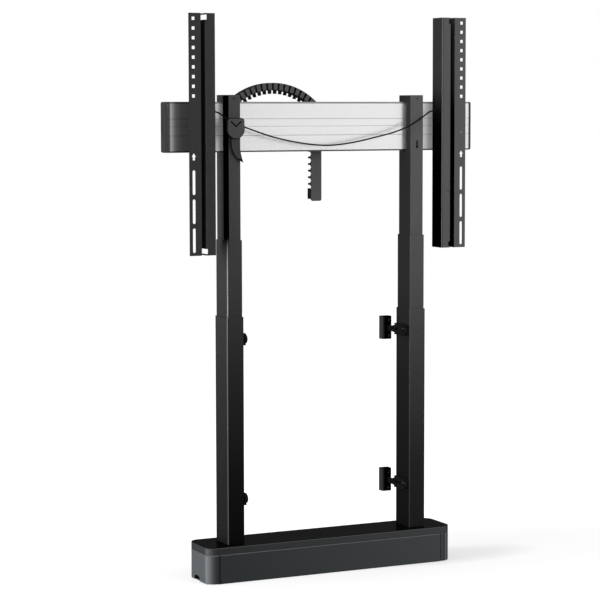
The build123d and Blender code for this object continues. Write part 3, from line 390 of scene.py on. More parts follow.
@dataclass(frozen=True)
class PaintedLinkShade:
    """The links of a round bend seen from the front, with painted shade on the gaps, the tips and the
    rim.
    """

    middle: tuple[float, float] = (-121.9 * MM, 1140.0 * MM)
    outer: float = 187.2 * MM
    inner: float = 169.5 * MM
    first_link: float = math.radians(131.05)
    step: float = math.radians(5.394)
    half_gap: float = 0.17

    def level(self, sheet: Sheet) -> Value:
        """Work out where the light part of each link is.

        Args:
            sheet: the material's sheet.

        Returns:
            1 on the middle of each link and 0 on the gaps, the tips and the rim.
        """
        across = sheet.along(0) - self.middle[0]
        up = sheet.along(2) - self.middle[1]
        reach = across * across + up * up
        angle = sheet.add("ShaderNodeMath", {"operation": "ARCTAN2"}, {0: up, 1: across})
        turn = (self.first_link - angle) * (1.0 / self.step)
        part = sheet.add("ShaderNodeMath", {"operation": "FRACT"}, {0: turn})
        gap = part.between(0.5 - self.half_gap, 0.5 + self.half_gap)
        return reach.between(self.inner ** 2, self.outer ** 2) * (1.0 - gap)


@dataclass(frozen=True)
class PowderCoat:
    """Dark powder coat on steel: a fine orange peel, faint cloudiness and a thin gloss, with painted
    shade and highlights.

    painted_shade darkens it by height and facing, painted_shadow lays a painted shadow on the left faces,
    and corner paints a highlight along a rounded corner with painted shade beside it.
    sheen_and_shade_bands are bands of painted highlight and painted shade on the front faces, between two
    places from left to right. screw_highlights are painted highlights on the screw heads, each with its
    Y, its Z and its radius.
    """

    name: str
    shade: Shade
    roughness: float = 0.42
    roughness_swing: float = 0.05
    roughness_scale: float = 40.0
    gloss: float = 0.10
    gloss_roughness: float = 0.12
    peel_scale: float = 900.0
    peel_strength: float = 0.06
    peel_depth: float = 0.4 * MM
    cloud: float = 0.08
    cloud_scale: float = 9.0
    painted_shade: PaintedShade | None = None
    corner: PaintedCornerSheen | None = None
    painted_shadow: PaintedShadowBand | None = None
    sheen_and_shade_bands: Bands = ()
    strip_limit: float = -0.5
    screw_highlights: tuple[Point, ...] = ()
    screw_highlight_shade: Shade = (150, 150, 152)

    def build(self) -> bpy.types.Material:
        """Make the material.

        Returns:
            The material, named for the finish.
        """
        material = bpy.data.materials.new(self.name)
        sheet = Sheet(material)
        level = (1.0 - self.cloud) + sheet.noise(self.cloud_scale, 4.0) * (2.0 * self.cloud)
        coat: Any = self.gloss
        # Painted shade by height and facing, which dims the gloss too.
        if self.painted_shade:
            share = self.painted_shade.level(sheet)
            level = level * share
            coat = share * coat
        colour = sheet.scaled(level, linear(self.shade))
        # A painted highlight along the corner, with painted shade beside it.
        if self.corner:
            colour = self.corner.apply(sheet, colour)
        # A painted shadow on the left faces, which dims the gloss too.
        if self.painted_shadow:
            share = self.painted_shadow.level(sheet)
            colour = sheet.scaled(share, colour)
            coat = share * coat
        # Painted highlight and painted shade on the front faces, between two places from left to right.
        if self.sheen_and_shade_bands:
            front = sheet.facing(1).below(self.strip_limit)
            colour = sheet.banded(colour, 0, self.sheen_and_shade_bands, front)
        # Painted highlights on the screw heads.
        for depth, height, radius in self.screw_highlights:
            back, up = sheet.along(1) - depth, sheet.along(2) - height
            inside = (back * back + up * up).below(radius ** 2)
            colour = sheet.mix(inside, colour, linear(self.screw_highlight_shade))
        peel = sheet.noise(self.peel_scale, 2.0)
        swing = sheet.noise(self.roughness_scale) * (2.0 * self.roughness_swing)
        sheet.finish({
            "Base Color": colour,
            "Roughness": (self.roughness - self.roughness_swing) + swing,
            "Specular IOR Level": 0.0,
            "Coat Weight": coat,
            "Coat Roughness": self.gloss_roughness,
            "Normal": sheet.bump(peel, self.peel_strength, self.peel_depth),
        })
        return material


@dataclass(frozen=True)
class Moulding:
    """Moulded plastic: fine texture, soft gloss, and a shade that may change with place and facing, much
    of it painted light and shade.

    far_end_light is the shade at the far end of span_x, a painted gradient of light. turn holds shares
    from faces that look to the front to faces that look left, as painted light and painted highlight by
    facing.
    lines are bands of another shade between two heights: painted highlight lines, and the leaf's darker
    lower part. seam_and_sheen_bands lie between two places from left to right: dark seam lines and a
    painted highlight. top_shade is for faces that look up. rim_painted_shade is painted shade for all but
    the front faces that lie before front_y, and link_shade paints shade on parts of those too.
    """

    name: str
    shade: Shade
    far_end_light: Shade | None = None
    span_x: tuple[float, float] = (-0.36, 0.36)
    turn: Stops = ()
    lines: Bands = ()
    seam_and_sheen_bands: Bands = ()
    top_shade: Shade | None = None
    top_limit: float = 0.6
    rim_painted_shade: Shade | None = None
    front_limit: float = -0.9
    front_y: float = 1.0
    link_shade: PaintedLinkShade | None = None
    roughness: float = 0.5
    roughness_swing: float = 0.04
    roughness_scale: float = 60.0
    gloss: float = 0.06
    gloss_roughness: float = 0.2
    texture_scale: float = 1400.0
    texture_strength: float = 0.12
    texture_depth: float = 0.3 * MM
    cloud: float = 0.06
    cloud_scale: float = 14.0

    def build(self) -> bpy.types.Material:
        """Make the material.

        Returns:
            The material, named for the finish.
        """
        material = bpy.data.materials.new(self.name)
        sheet = Sheet(material)
        colour: Any = linear(self.shade)
        # A painted gradient of light from left to right.
        if self.far_end_light:
            low, high = self.span_x
            part = (sheet.along(0) - low) * (1.0 / (high - low))
            colour = sheet.mix(part, colour, linear(self.far_end_light))
        # Painted light and highlight by facing.
        if self.turn:
            colour = sheet.scaled(sheet.shares(0.0 - sheet.facing(0), self.turn), colour)
        # Painted highlight lines across the height, and the leaf's darker lower part.
        colour = sheet.banded(colour, 2, self.lines)
        # Dark seam lines and a painted highlight, between two places from left to right.
        colour = sheet.banded(colour, 0, self.seam_and_sheen_bands)
        if self.top_shade:
            top = sheet.facing(2).above(self.top_limit)
            colour = sheet.mix(top, colour, linear(self.top_shade))
        # Painted shade on all but the front faces, and on the gaps and rim of the links.
        if self.rim_painted_shade:
            front = sheet.facing(1).below(self.front_limit) * sheet.along(1).below(self.front_y)
            if self.link_shade:
                front = front * self.link_shade.level(sheet)
            colour = sheet.mix(front, linear(self.rim_painted_shade), colour)
        level = (1.0 - self.cloud) + sheet.noise(self.cloud_scale) * (2.0 * self.cloud)
        swing = sheet.noise(self.roughness_scale) * (2.0 * self.roughness_swing)
        texture = sheet.noise(self.texture_scale, 1.0)
        sheet.finish({
            "Base Color": sheet.scaled(level, colour),
            "Roughness": (self.roughness - self.roughness_swing) + swing,
            "Specular IOR Level": 0.0,
            "Coat Weight": self.gloss,
            "Coat Roughness": self.gloss_roughness,
            "Normal": sheet.bump(texture, self.texture_strength, self.texture_depth),
        })
        return material


@dataclass(frozen=True)
class DrawnMetal:
    """Bare or anodised metal with fine lines along one axis.

    painted_shade_bands are bands of painted shade between two heights, on the lips and in the grooves.
    along holds shares of the shade at places from left to right, a painted shade that is darker at the
    left end and behind the left rail and lighter towards the right. Beyond mirror_half to either side the
    metal is matt.
    """

    name: str
    shade: Shade
    roughness: float = 0.24
    roughness_swing: float = 0.03
    metallic: float = 1.0
    stretch: Point = (0.01, 1.0, 1.0)
    line_scale: float = 1600.0
    line_strength: float = 0.05
    line_depth: float = 0.2 * MM
    line_share: float = 0.12
    line_level: float = 0.8
    painted_shade_bands: Bands = ()
    along: Stops = ()
    mirror_half: float | None = None

    def build(self) -> bpy.types.Material:
        """Make the material.

        Returns:
            The material, named for the finish.
        """
        material = bpy.data.materials.new(self.name)
        sheet = Sheet(material)
        lines = sheet.noise(self.line_scale, 2.0, self.stretch)
        darker = linear([part * self.line_level for part in self.shade])
        colour = sheet.mix(lines * self.line_share, linear(self.shade), darker)
        # Painted shade on the lips and in the grooves.
        colour = sheet.banded(colour, 2, self.painted_shade_bands)
        # Painted shade along the bar, darker at the left end and behind the left rail.
        if self.along:
            colour = sheet.scaled(sheet.ramp(0, self.along), colour)
        metallic: Any = self.metallic
        if self.mirror_half:
            metallic = sheet.along(0).between(-self.mirror_half, self.mirror_half) * metallic
        sheet.finish({
            "Base Color": colour,
            "Metallic": metallic,
            "Roughness": (self.roughness - self.roughness_swing) + lines * (2.0 * self.roughness_swing),
            "Normal": sheet.bump(lines, self.line_strength, self.line_depth),
        })
        return material


@dataclass(frozen=True)
class Braid:
    """Braided cord: two crossing sets of strands round the line of the cord."""

    name: str
    shade: Shade
    scale: float = 300.0
    tilt: float = math.radians(35.0)
    groove_level: float = 0.7
    strand_level: float = 0.6
    roughness: float = 0.7
    roughness_swing: float = 0.15
    specular: float = 0.05
    strand_strength: float = 0.35
    strand_depth: float = 0.3 * MM

    def build(self) -> bpy.types.Material:
        """Make the material.

        Returns:
            The material, named for the finish.
        """
        material = bpy.data.materials.new(self.name)
        sheet = Sheet(material)
        place = sheet.place()
        waves = []
        for side in (1.0, -1.0):
            tilted = sheet.add("ShaderNodeMapping", {"vector_type": "POINT"},
                               {"Vector": place, "Rotation": (0.0, side * self.tilt, 0.0)})
            waves.append(sheet.add("ShaderNodeTexWave", {"bands_direction": "X"},
                                   {"Vector": tilted, "Scale": self.scale}, 1))
        strands = waves[0] * waves[1]
        level = self.groove_level + strands * self.strand_level
        sheet.finish({
            "Base Color": sheet.scaled(level, linear(self.shade)),
            "Roughness": self.roughness + strands * self.roughness_swing,
            "Specular IOR Level": self.specular,
            "Normal": sheet.bump(strands, self.strand_strength, self.strand_depth),
        })
        return material


class Finish(Enum):
    """The finishes of the lift, many with painted light and shade."""

    # The two rails are a shaded and a lit copy of one coat; the right one is darkened by height and
    # facing as painted shade, with a painted highlight and painted shade along its inner edge.
    RAIL = PowderCoat("rail_coat", (52, 52, 53))
    RAIL_RIGHT = PowderCoat("rail_coat_right", (86, 86, 87), painted_shade=PaintedShade(
        faces=((0.90, 0.98), (1.20, 0.98), (1.50, 0.92)),
        left_faces=((0.90, 0.0), (1.20, 0.01), (1.25, 0.06), (1.31, 0.37), (1.37, 0.46),
                    (1.50, 0.46))),
        sheen_and_shade_bands=((338.0 * MM, 340.6 * MM, (104, 104, 105)), (340.6 * MM, 342.6 * MM, (58, 58, 59))))
    # The two columns are a shaded and a lit copy of one coat, darkened towards the floor and by facing as
    # painted shade, with a painted highlight on the front left corner; the left one has painted shade
    # beside that highlight and a painted shadow on its left faces.
    COLUMN = PowderCoat("column_coat", (74, 74, 75), painted_shade=PaintedShade(
        faces=((0.10, 0.06), (0.28, 0.10), (0.55, 0.27), (0.80, 0.58), (1.00, 0.84), (1.20, 0.92)),
        left_faces=((0.10, 0.30), (0.28, 0.36), (0.55, 0.54), (0.80, 0.82), (1.20, 0.98))),
        corner=PaintedCornerSheen(((0.10, 0.10), (0.45, 0.13), (0.70, 0.20), (0.715, 0.36), (0.90, 0.36))),
        painted_shadow=PaintedShadowBand(-40.0 * MM, -13.0 * MM, 0.885))
    COLUMN_RIGHT = PowderCoat("column_coat_right", (90, 90, 91), painted_shade=PaintedShade(
        faces=((0.10, 0.14), (0.28, 0.17), (0.55, 0.41), (0.80, 0.74), (1.00, 0.90), (1.20, 0.92)),
        left_faces=((0.10, 0.11), (0.28, 0.13), (0.55, 0.20), (0.80, 0.33), (1.20, 0.31))),
        corner=PaintedCornerSheen(((0.10, 0.04), (0.60, 0.07), (0.90, 0.10), (1.25, 0.09)), 1.0))
    # Painted highlights on the two clamp screw heads.
    STAY = PowderCoat("stay_coat", (22, 22, 23), gloss=0.05, peel_strength=0.1, screw_highlights=(
        (-25.0 * MM, 652.0 * MM, 2.2 * MM), (-25.0 * MM, 222.0 * MM, 2.2 * MM)))
    TRAY = PowderCoat("tray_coat", (84, 84, 85))
    PLATE = PowderCoat("plate_coat", (50, 50, 52))
    # Painted shade on the lips, in the grooves and along the bar.
    BAR = DrawnMetal("bar_satin", (246, 246, 247), roughness=0.26, metallic=0.75, line_strength=0.08,
                     painted_shade_bands=((1.2722, 1.30, (150, 150, 152)), (1.10, 1.1478, (70, 70, 72)),
                                 (1.2312, 1.2328, (192, 192, 194)), (1.2113, 1.2127, (206, 206, 208)),
                                 (1.1872, 1.1888, (190, 190, 192))),
                     along=((-0.4465, 0.03), (-0.4450, 0.55), (-0.4300, 0.20), (-0.4130, 0.12),
                            (-0.3360, 0.15), (-0.3120, 0.90), (-0.2950, 0.80), (-0.2500, 0.81),
                            (0.2500, 0.88), (0.2900, 1.0)),
                     mirror_half=0.275)
    ZINC = DrawnMetal("zinc_plate", (176, 178, 182), roughness=0.35, stretch=(1.0, 1.0, 1.0))
    CAST = DrawnMetal("cast_case", (140, 142, 146), roughness=0.55, stretch=(1.0, 1.0, 1.0),
                      line_scale=500.0, line_strength=0.3)
    SCREW = DrawnMetal("turned_steel", (150, 152, 156), roughness=0.3, stretch=(1.0, 1.0, 0.02))
    # The lid's sides carry painted light: lighter towards the right and by facing, with a painted corner
    # highlight and a painted highlight line; the black top is its own colour.
    LID = Moulding("lid_black", (132, 136, 138), (172, 177, 179), gloss=0.03, texture_strength=0.02,
                   lines=((96.4 * MM, 98.0 * MM, (82, 83, 82)),),
                   turn=((0.0, 0.13), (0.35, 0.17), (0.7, 0.45), (0.9, 0.8), (1.0, 0.30)),
                   top_shade=(9, 9, 10))
    # Painted light, lighter towards the right, and a painted highlight line under the lid; the two dark
    # seam lines are joints.
    PANEL = Moulding("panel_coat", (49, 52, 54), (68, 71, 72),
                     lines=((77.2 * MM, 79.5 * MM, (98, 100, 101)),),
                     seam_and_sheen_bands=((-337.0 * MM, -334.0 * MM, (20, 21, 22)),
                            (334.0 * MM, 337.0 * MM, (44, 46, 47))))
    # The base ends are a lit and a shaded copy of one moulding: the left one has painted light by facing
    # and a painted corner highlight, both have a painted highlight line under the lid, and the right one
    # a darker strip and a painted highlight on its rounded corner.
    END_LEFT = Moulding("end_left_moulding", (152, 157, 160), gloss=0.04,
                        lines=((77.6 * MM, 79.5 * MM, (118, 119, 119)),),
                        turn=((0.0, 0.10), (0.2, 0.13), (0.5, 0.30), (0.8, 0.75), (0.93, 1.0),
                              (1.0, 0.53)))
    END_RIGHT = Moulding("end_right_moulding", (70, 72, 73),
                         lines=((77.2 * MM, 79.5 * MM, (98, 100, 101)),),
                         seam_and_sheen_bands=((343.0 * MM, 349.0 * MM, (56, 58, 59)),
                                (349.0 * MM, 356.0 * MM, (92, 94, 96))))
    CAP = Moulding("cap_plastic", (70, 70, 71))
    # Painted shade on all but the front face: on the edges and in the V slit.
    GRIP = Moulding("grip_plastic", (72, 72, 73), texture_scale=2200.0, rim_painted_shade=(10, 10, 10),
                    front_y=-48.6 * MM)
    LEAF = Moulding("leaf_rubber", (64, 64, 65), gloss=0.0, lines=((1.05, 1.127, (12, 12, 12)),))
    CHAIN = Moulding("chain_plastic", (24, 24, 24))
    # Painted shade on the gaps between the links and on the rim.
    BEND = Moulding("bend_plastic", (80, 80, 81), rim_painted_shade=(12, 12, 12), link_shade=PaintedLinkShade())
    # Painted light by facing: the left faces lighter, the front faces dark.
    BLOCK = Moulding("block_plastic", (86, 86, 87), gloss=0.0, turn=((0.0, 0.01), (0.6, 0.3), (1.0, 0.9)))
    FOOT = Moulding("foot_rubber", (30, 30, 30), roughness=0.8, gloss=0.0)
    GLIDE = Moulding("glide_plastic", (214, 214, 208), roughness=0.5)
    CASE = Moulding("case_plastic", (46, 46, 48), roughness=0.6)
    CORD = Braid("cord_braid", (16, 16, 17))

    def material(self) -> bpy.types.Material:
        """The finish as a material, made once."""
        known = bpy.data.materials.get(self.value.name)
        return known or self.value.build()


def dress(piece: bpy.types.Object, finish: Finish) -> None:
    """Give a piece one finish."""
    piece.data.materials.clear()
    piece.data.materials.append(finish.material())
    LOG.info("%s: %s", piece.name, finish.value.name)


def body_of(node: str) -> str:
    """The body that carries a node."""
    return frame["nodes"][node]["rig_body"]


def new_piece(name: str, shape: bmesh.types.BMesh) -> bpy.types.Object:
    """Turn a finished shape into an object of the scene.

    Args:
        name: the piece's name.
        shape: its mesh, which is used up.

    Returns:
        The object, at the origin.
    """
    bmesh.ops.recalc_face_normals(shape, faces=shape.faces)
    mesh = bpy.data.meshes.new(name)
    facing = shape.faces.layers.float_vector.new(FACING)
    for face in shape.faces:
        face[facing] = face.normal
    shape.to_mesh(mesh)
    shape.free()
    piece = bpy.data.objects.new(name, mesh)
    bpy.context.scene.collection.objects.link(piece)
    return piece


def smooth_by_angle(piece: bpy.types.Object, angle: float = SMOOTH_ANGLE) -> None:
    """Shade round stretches smooth and keep sharp edges sharp.

    Args:
        piece: the piece, whose mesh is changed.
        angle: the angle between faces from which an edge is sharp.
    """
    mesh = piece.data
    shape = bmesh.new()
    shape.from_mesh(mesh)
    for face in shape.faces:
        face.smooth = True
    for edge in shape.edges:
        edge.smooth = len(edge.link_faces) == 2 and edge.calc_face_angle(0.0) < angle
    shape.to_mesh(mesh)
    shape.free()


def softened(node: str, finish: Finish, width: float = 0.0, rides: bool = True,
             moved: Callable[[Vector], Vector] | None = None) -> bpy.types.Object:
    """Stand a rounded-edge copy in for a node.

    Args:
        node: the node whose shape is copied.
        finish: its finish.
        width: the width of the rounded edges, or 0 for none.
        rides: whether the piece rides on the node's body here.
        moved: gives the new place of each point of the shape, if some are moved.

    Returns:
        The piece.
    """
    shape = bmesh.new()
    shape.from_mesh(frame["nodes"][node].data)
    bmesh.ops.remove_doubles(shape, verts=shape.verts, dist=MERGE_DISTANCE)
    if moved:
        for vertex in shape.verts:
            vertex.co = moved(vertex.co)
        shape.normal_update()
    bmesh.ops.dissolve_limit(shape, angle_limit=FLAT_ANGLE, verts=shape.verts, edges=shape.edges)
    piece = new_piece(node + "_dressed", shape)
    if width:
        edge = piece.modifiers.new("rounded_edges", "BEVEL")
        edge.width = width
        edge.segments = 2
        edge.limit_method = "ANGLE"
        edge.angle_limit = EDGE_ANGLE
        edge.use_clamp_overlap = True
    smooth_by_angle(piece)
    dress(piece, finish)
    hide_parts(node)
    if rides:
        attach(piece, body_of(node))
    return piece


@dataclass(frozen=True)
class Lamp:
    """A soft panel lamp at a place that faces a target. A glossy one shows in reflections alone."""

    name: str
    place: Point
    target: Point
    size: tuple[float, float]
    power: float
    glossy: bool = False

    def build(self) -> None:
        """Make the lamp."""
        data = bpy.data.lights.new(self.name, "AREA")
        data.shape = "RECTANGLE"
        data.size, data.size_y = self.size
        data.energy = self.power
        lamp = bpy.data.objects.new(self.name, data)
        lamp.location = self.place
        forward = Vector(self.target) - Vector(self.place)
        lamp.rotation_euler = forward.to_track_quat("-Z", "Y").to_euler()
        lamp.visible_camera = False
        lamp.visible_glossy = self.glossy
        lamp.visible_diffuse = not self.glossy
        bpy.context.scene.collection.objects.link(lamp)


@dataclass
class Studio:
    """White floor and surround, soft light, and the camera at the photograph's place.

    The floor's glow runs from near to middle to far, at the two ends in glow_reach of a measure that
    grows with the distance from shade_x; the lower glow near shade_x is a painted shadow beside the
    base's right end. covered holds the half lengths and half depths of the crossed boxes that the base
    covers, where the floor's glow is painted out as shade.
    """

    camera_place: Point = (-2.6078, -5.2563, 1.2544)
    camera_yaw: float = math.radians(25.8092)
    camera_pitch: float = math.radians(5.007)
    camera_roll: float = math.radians(0.1094)
    lens: float = 129.961
    sensor_width: float = 36.0
    floor_size: float = 14.0
    surround_level: float = 0.50
    floor_glow: tuple[float, float, float] = (0.565, 0.705, 0.97)
    glow_reach: tuple[float, float] = (0.05, 1.1)
    floor_matt: float = 0.30
    shade_x: float = 0.40
    shade_spread: tuple[float, float] = (0.5, 3.0)
    covered: tuple[tuple[float, float], ...] = ((0.364, 0.050), (0.338, 0.062))
    lamps: tuple[Lamp, ...] = (
        Lamp("front_panel", (2.2, -3.9, 2.2), (0.1, 0.0, 0.8), (2.4, 2.4), 95.0),
        Lamp("top_panel", (0.0, -0.6, 3.8), (0.0, 0.0, 0.6), (2.6, 2.6), 36.0),
        Lamp("left_panel", (-2.6, -0.6, 0.8), (-0.2, 0.0, 0.5), (0.6, 1.8), 26.0),
        Lamp("edge_strip", (-2.5, -1.05, 0.9), (-0.2, 0.0, 0.9), (0.16, 2.6), 130.0, glossy=True))

    def build(self) -> None:
        """Make the camera, the lights, the surround and the floor."""
        self._camera()
        self._surround()
        self._floor()
        for lamp in self.lamps:
            lamp.build()
        bpy.context.scene.view_settings.view_transform = "Standard"
        LOG.info("studio: camera, %d lamps, floor and surround", len(self.lamps))

    def _camera(self) -> None:
        """Place the camera."""
        forward = Vector((math.sin(self.camera_yaw) * math.cos(self.camera_pitch),
                          math.cos(self.camera_yaw) * math.cos(self.camera_pitch),
                          -math.sin(self.camera_pitch)))
        level_right = Vector((math.cos(self.camera_yaw), -math.sin(self.camera_yaw), 0.0))
        level_up = level_right.cross(forward)
        right = level_right * math.cos(self.camera_roll) - level_up * math.sin(self.camera_roll)
        up = right.cross(forward)
        data = bpy.data.cameras.new("view")
        data.lens = self.lens
        data.sensor_width = self.sensor_width
        camera = bpy.data.objects.new("view", data)
        turn = Matrix((right, up, -forward)).transposed().to_4x4()
        camera.matrix_world = Matrix.Translation(self.camera_place) @ turn
        bpy.context.scene.collection.objects.link(camera)
        bpy.context.scene.camera = camera

    def _surround(self) -> None:
        """White to the eye and in reflections, softer as light."""
        world = bpy.data.worlds.new("surround")
        bpy.context.scene.world = world
        sheet = Sheet(world)
        path = self._seen(sheet)
        light = sheet.add("ShaderNodeBackground", None,
                          {"Color": WHITE, "Strength": self.surround_level})
        seen = sheet.add("ShaderNodeBackground", None, {"Color": WHITE, "Strength": 1.0})
        both = sheet.add("ShaderNodeMixShader", None, {0: path, 1: light, 2: seen})
        sheet.add("ShaderNodeOutputWorld", None, {"Surface": both})

    @staticmethod
    def _seen(sheet: Sheet) -> Value:
        """Tell the rays that see the surround and the floor as white.

        Args:
            sheet: the sheet of the world or the floor.

        Returns:
            1 for rays of the eye, of reflections and through glass, and 0 for all others.
        """
        camera = sheet.add("ShaderNodeLightPath", output="Is Camera Ray")
        glossy = sheet.add("ShaderNodeLightPath", output="Is Glossy Ray")
        through = sheet.add("ShaderNodeLightPath", output="Is Transmission Ray")
        return sheet.add("ShaderNodeMath", {"operation": "ADD", "use_clamp": True},
                         {0: camera + glossy, 1: through})

    def _floor(self) -> None:
        """A white floor that keeps a soft shadow, with more shadow painted into its glow near the base
        and under it.
        """
        shape = bmesh.new()
        bmesh.ops.create_grid(shape, x_segments=1, y_segments=1, size=self.floor_size / 2)
        floor = new_piece("floor", shape)
        material = bpy.data.materials.new("floor_white")
        sheet = Sheet(material)
        reach = self._reach(sheet)
        near, middle, far = self.floor_glow
        first, last = self.glow_reach
        level = near + sheet.ramp_up(reach, 0.0, first) * (middle - near)
        level = level + sheet.ramp_up(reach, 0.0, last) * (far - middle)
        # The glow is painted down near the base's right end as a soft shadow, and painted out under the
        # base as shade.
        white = sheet.scaled(level * self._open(sheet), WHITE)
        glow = sheet.add("ShaderNodeEmission", None, {"Color": white, "Strength": 1.0})
        dark = sheet.add("ShaderNodeEmission", None, {"Strength": 0.0})
        seen = sheet.add("ShaderNodeMixShader", None, {0: self._seen(sheet), 1: dark, 2: glow})
        grey = (self.floor_matt, self.floor_matt, self.floor_matt, 1.0)
        matt = sheet.add("ShaderNodeBsdfDiffuse", None, {"Color": grey})
        both = sheet.add("ShaderNodeAddShader", None, {0: matt, 1: seen})
        sheet.add("ShaderNodeOutputMaterial", None, {"Surface": both})
        floor.data.materials.append(material)

    def _reach(self, sheet: Sheet) -> Value:
        """How far a point of the floor lies out of the painted soft shadow, as a weighed square of a
        distance.
        """
        across, back = sheet.along(0) - self.shade_x, sheet.along(1)
        return across * across * self.shade_spread[0] + back * back * self.shade_spread[1]

    def _open(self, sheet: Sheet) -> Value:
        """Tell the open floor from the floor that the base covers.

        Args:
            sheet: the floor's sheet.

        Returns:
            0 under the base and 1 elsewhere.
        """
        across, back = sheet.along(0), sheet.along(1)
        shares = [across.between(-half_x, half_x) * back.between(-half_y, half_y)
                  for half_x, half_y in self.covered]
        return (1.0 - shares[0]) * (1.0 - shares[1])


@dataclass
class PullCord:
    """The cord that opens both latches, with the grip that hangs on it."""

    diameter: float = 4.0 * MM
    edge: float = 0.4 * MM
    left_length: float = 51.4 * MM
    right_length: float = 615.3 * MM
    left_route: tuple[Point, ...] = (
        (-0.3365, -0.0250, 1.2515), (-0.3240, -0.0250, 1.2515), (-0.3140, -0.0330, 1.2465),
        (-0.3065, -0.0420, 1.2380), (-0.2970, -0.0445, 1.2320))
    right_route: tuple[Point, ...] = (
        (-0.2520, -0.0445, 1.2118), (-0.2040, -0.0435, 1.1950), (-0.1550, -0.0430, 1.1810),
        (-0.1050, -0.0425, 1.1705), (-0.0530, -0.0422, 1.1630), (-0.0020, -0.0420, 1.1595),
        (0.0480, -0.0420, 1.1635), (0.0980, -0.0423, 1.1715), (0.1480, -0.0425, 1.1825),
        (0.1980, -0.0432, 1.1935), (0.2400, -0.0440, 1.2080), (0.2760, -0.0440, 1.2270),
        (0.3060, -0.0380, 1.2460), (0.3220, -0.0250, 1.2515), (0.3365, -0.0250, 1.2515))
    grip: list[bpy.types.Object] = field(default_factory=list)

    def build(self) -> None:
        """Make the grip and both stretches of cord."""
        leaf = frame["nodes"]["grip_tail"]
        dress(leaf, Finish.LEAF)
        self.grip = [softened("grip_front", Finish.GRIP, self.edge),
                     softened("grip_back", Finish.GRIP, self.edge), leaf]
        left = self._stretch("pull_cord_left", "cord_left", self.left_route)
        right = self._stretch("pull_cord_right", "cord_right", self.right_route)
        LOG.info("pull cord: %d pieces", 2 + len(self.grip))

    def _stretch(self, name: str, node: str, route: Iterable[Point]) -> bpy.types.Object:
        """One stretch of cord along its route.

        Args:
            name: the piece's name.
            node: the node that it stands for.
            route: the control points, as listed.

        Returns:
            The curve.
        """
        points = list(route)
        curve = bpy.data.curves.new(name, "CURVE")
        curve.dimensions = "3D"
        curve.bevel_depth = self.diameter / 2
        curve.bevel_resolution = 4
        curve.resolution_u = 12
        curve.use_fill_caps = True
        spline = curve.splines.new("NURBS")
        spline.points.add(len(points) - 1)
        for control, point in zip(spline.points, points):
            control.co = (*point, 1.0)
        spline.order_u = 3
        spline.use_endpoint_u = True
        piece = bpy.data.objects.new(name, curve)
        bpy.context.scene.collection.objects.link(piece)
        dress(piece, Finish.CORD)
        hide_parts(node)
        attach(piece, body_of(node))
        return piece


@dataclass
class CableCarrier:
    """The link chain: its bend, its two legs, and the tray, clamp and guide that hold it."""

    edge: float = 0.5 * MM
    rear_plate_y: float = 66.0 * MM
    open_edge_x: float = 0.0
    rear_shift: float = 10.4 * MM
    front_shift: float = -2.6 * MM
    tip_root_x: float = -6.0 * MM
    tip_reach: float = 2.7 * MM

    def build(self) -> None:
        """Dress the carrier and its legs."""
        softened("chain_arch", Finish.BEND, self.edge)
        self._leg("chain_fixed_leg")
        self._leg("chain_moving_leg", self._longer_tips)
        softened("chain_tray", Finish.TRAY, self.edge, moved=self._open_edges)
        softened("chain_end_clamp", Finish.CHAIN, self.edge)
        softened("chain_guide", Finish.PLATE, self.edge / 2)
        LOG.info("cable carrier: 6 pieces")

    def _open_edges(self, point: Vector) -> Vector:
        """Narrow the tray's rear plate at its open edge and widen its front plate a little.

        Args:
            point: a point of the tray.

        Returns:
            Its new place.
        """
        if point.x > self.open_edge_x:
            return point
        shift = self.rear_shift if point.y > self.rear_plate_y else self.front_shift
        return point + Vector((shift, 0.0, 0.0))

    def _longer_tips(self, point: Vector) -> Vector:
        """Draw out the tips of the leg in the tray."""
        return point - Vector((self.tip_reach, 0.0, 0.0)) if point.x < self.tip_root_x else point

    def _leg(self, node: str,
             moved: Callable[[Vector], Vector] | None = None) -> None:
        """A leg as a rounded copy that rides on no body.

        Args:
            node: the leg's node.
            moved: gives the new place of each point of the leg, if some are moved.
        """
        piece = softened(node, Finish.CHAIN, self.edge, rides=False, moved=moved)
        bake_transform(piece)


@dataclass
class Base:
    """The long base: mouldings, lid, floor plate, feet and the drive inside."""

    edge: float = 0.6 * MM

    def build(self) -> None:
        """Dress the base."""
        softened("base_side_panels", Finish.PANEL, self.edge / 2)
        softened("base_end_left", Finish.END_LEFT, self.edge / 2)
        softened("base_end_right", Finish.END_RIGHT, self.edge / 2)
        softened("base_lid", Finish.LID, self.edge / 2)
        for node, finish in (("base_plate", Finish.PLATE), ("levelling_feet", Finish.FOOT),
                             ("control_box", Finish.CASE), ("lift_gearboxes", Finish.CAST),
                             ("lift_motors", Finish.CASE), ("column_feet", Finish.PLATE),
                             ("foot_bolts", Finish.ZINC)):
            dress(frame["nodes"][node], finish)
        LOG.info("base: 11 pieces")


@dataclass
class Columns:
    """The telescopic tubes with their pads, nuts, screws and caps."""

    edge: float = 0.4 * MM

    def build(self) -> None:
        """Dress both columns."""
        for side, finish in zip(SIDES, (Finish.COLUMN, Finish.COLUMN_RIGHT)):
            for stage in ("outer", "middle", "inner"):
                softened(f"{stage}_tube_{side}", finish, self.edge)
            dress(frame["nodes"][f"middle_glides_{side}"], Finish.GLIDE)
            dress(frame["nodes"][f"stage_nut_{side}"], Finish.GLIDE)
            dress(frame["nodes"][f"lift_spindle_{side}"], Finish.SCREW)
            dress(frame["nodes"][f"hollow_spindle_{side}"], Finish.SCREW)
        dress(frame["nodes"]["outer_glides"], Finish.GLIDE)
        dress(frame["nodes"]["carriage_nuts"], Finish.GLIDE)
        softened("column_caps", Finish.CAP, self.edge)
        LOG.info("columns: 17 pieces")


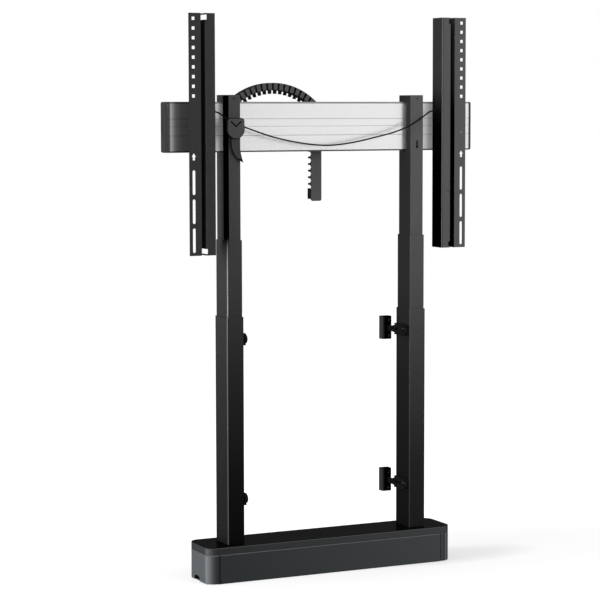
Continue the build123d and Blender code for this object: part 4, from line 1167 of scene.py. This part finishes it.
@dataclass
class Crossbar:
    """The extruded bar with its end caps, spacers and screws."""

    edge: float = 0.4 * MM

    def build(self) -> None:
        """Dress the bar."""
        softened("crossbar", Finish.BAR, self.edge / 2)
        softened("crossbar_ends", Finish.CAP, self.edge)
        dress(frame["nodes"]["bar_clamps"], Finish.CAST)
        dress(frame["nodes"]["bar_screws"], Finish.ZINC)
        LOG.info("crossbar: 4 pieces")


@dataclass
class DisplayRails:
    """The two hanging rails with their brackets, latches, springs and bushes."""

    edge: float = 0.35 * MM
    groove: tuple[float, float] = (363.5 * MM, 380.5 * MM)
    groove_floor_y: float = -11.0 * MM
    groove_shift: float = 22.0 * MM

    def build(self) -> None:
        """Dress the rails."""
        for side, finish in zip(SIDES, (Finish.RAIL, Finish.RAIL_RIGHT)):
            softened(f"display_rail_{side}", finish, self.edge, moved=self._shallow_groove)
            dress(frame["nodes"][f"latch_{side}"], Finish.ZINC)
        dress(frame["nodes"]["rail_brackets"], Finish.ZINC)
        dress(frame["nodes"]["latch_springs"], Finish.SCREW)
        dress(frame["nodes"]["cord_bushes"], Finish.FOOT)
        LOG.info("display rails: 7 pieces")

    def _shallow_groove(self, point: Vector) -> Vector:
        """Move the floor of the groove forward, so that light passes the holes of the flange.

        Args:
            point: a point of a rail.

        Returns:
            Its new place.
        """
        low, high = self.groove
        floor = low < abs(point.x) < high and point.y > self.groove_floor_y
        return point - Vector((0.0, self.groove_shift, 0.0)) if floor else point


@dataclass
class WallStays:
    """Four sliding stays with their guide plates and wall blocks."""

    edge: float = 0.5 * MM

    def build(self) -> None:
        """Dress the stays."""
        softened("wall_clamps", Finish.STAY, self.edge / 2)
        for level in LEVELS:
            for side in SIDES:
                softened(f"wall_arm_{level}_{side}", Finish.STAY, self.edge / 2)
                softened(f"wall_block_{level}_{side}", Finish.BLOCK, self.edge)
        LOG.info("wall stays: 9 pieces")


def main() -> None:
    """Build the studio and every sub-assembly in order."""
    logging.basicConfig(level=logging.INFO, format="%(name)s: %(message)s")
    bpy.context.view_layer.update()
    Studio().build()
    PullCord().build()
    CableCarrier().build()
    Base().build()
    Columns().build()
    Crossbar().build()
    DisplayRails().build()
    WallStays().build()


if __name__ == "__main__":
    main()
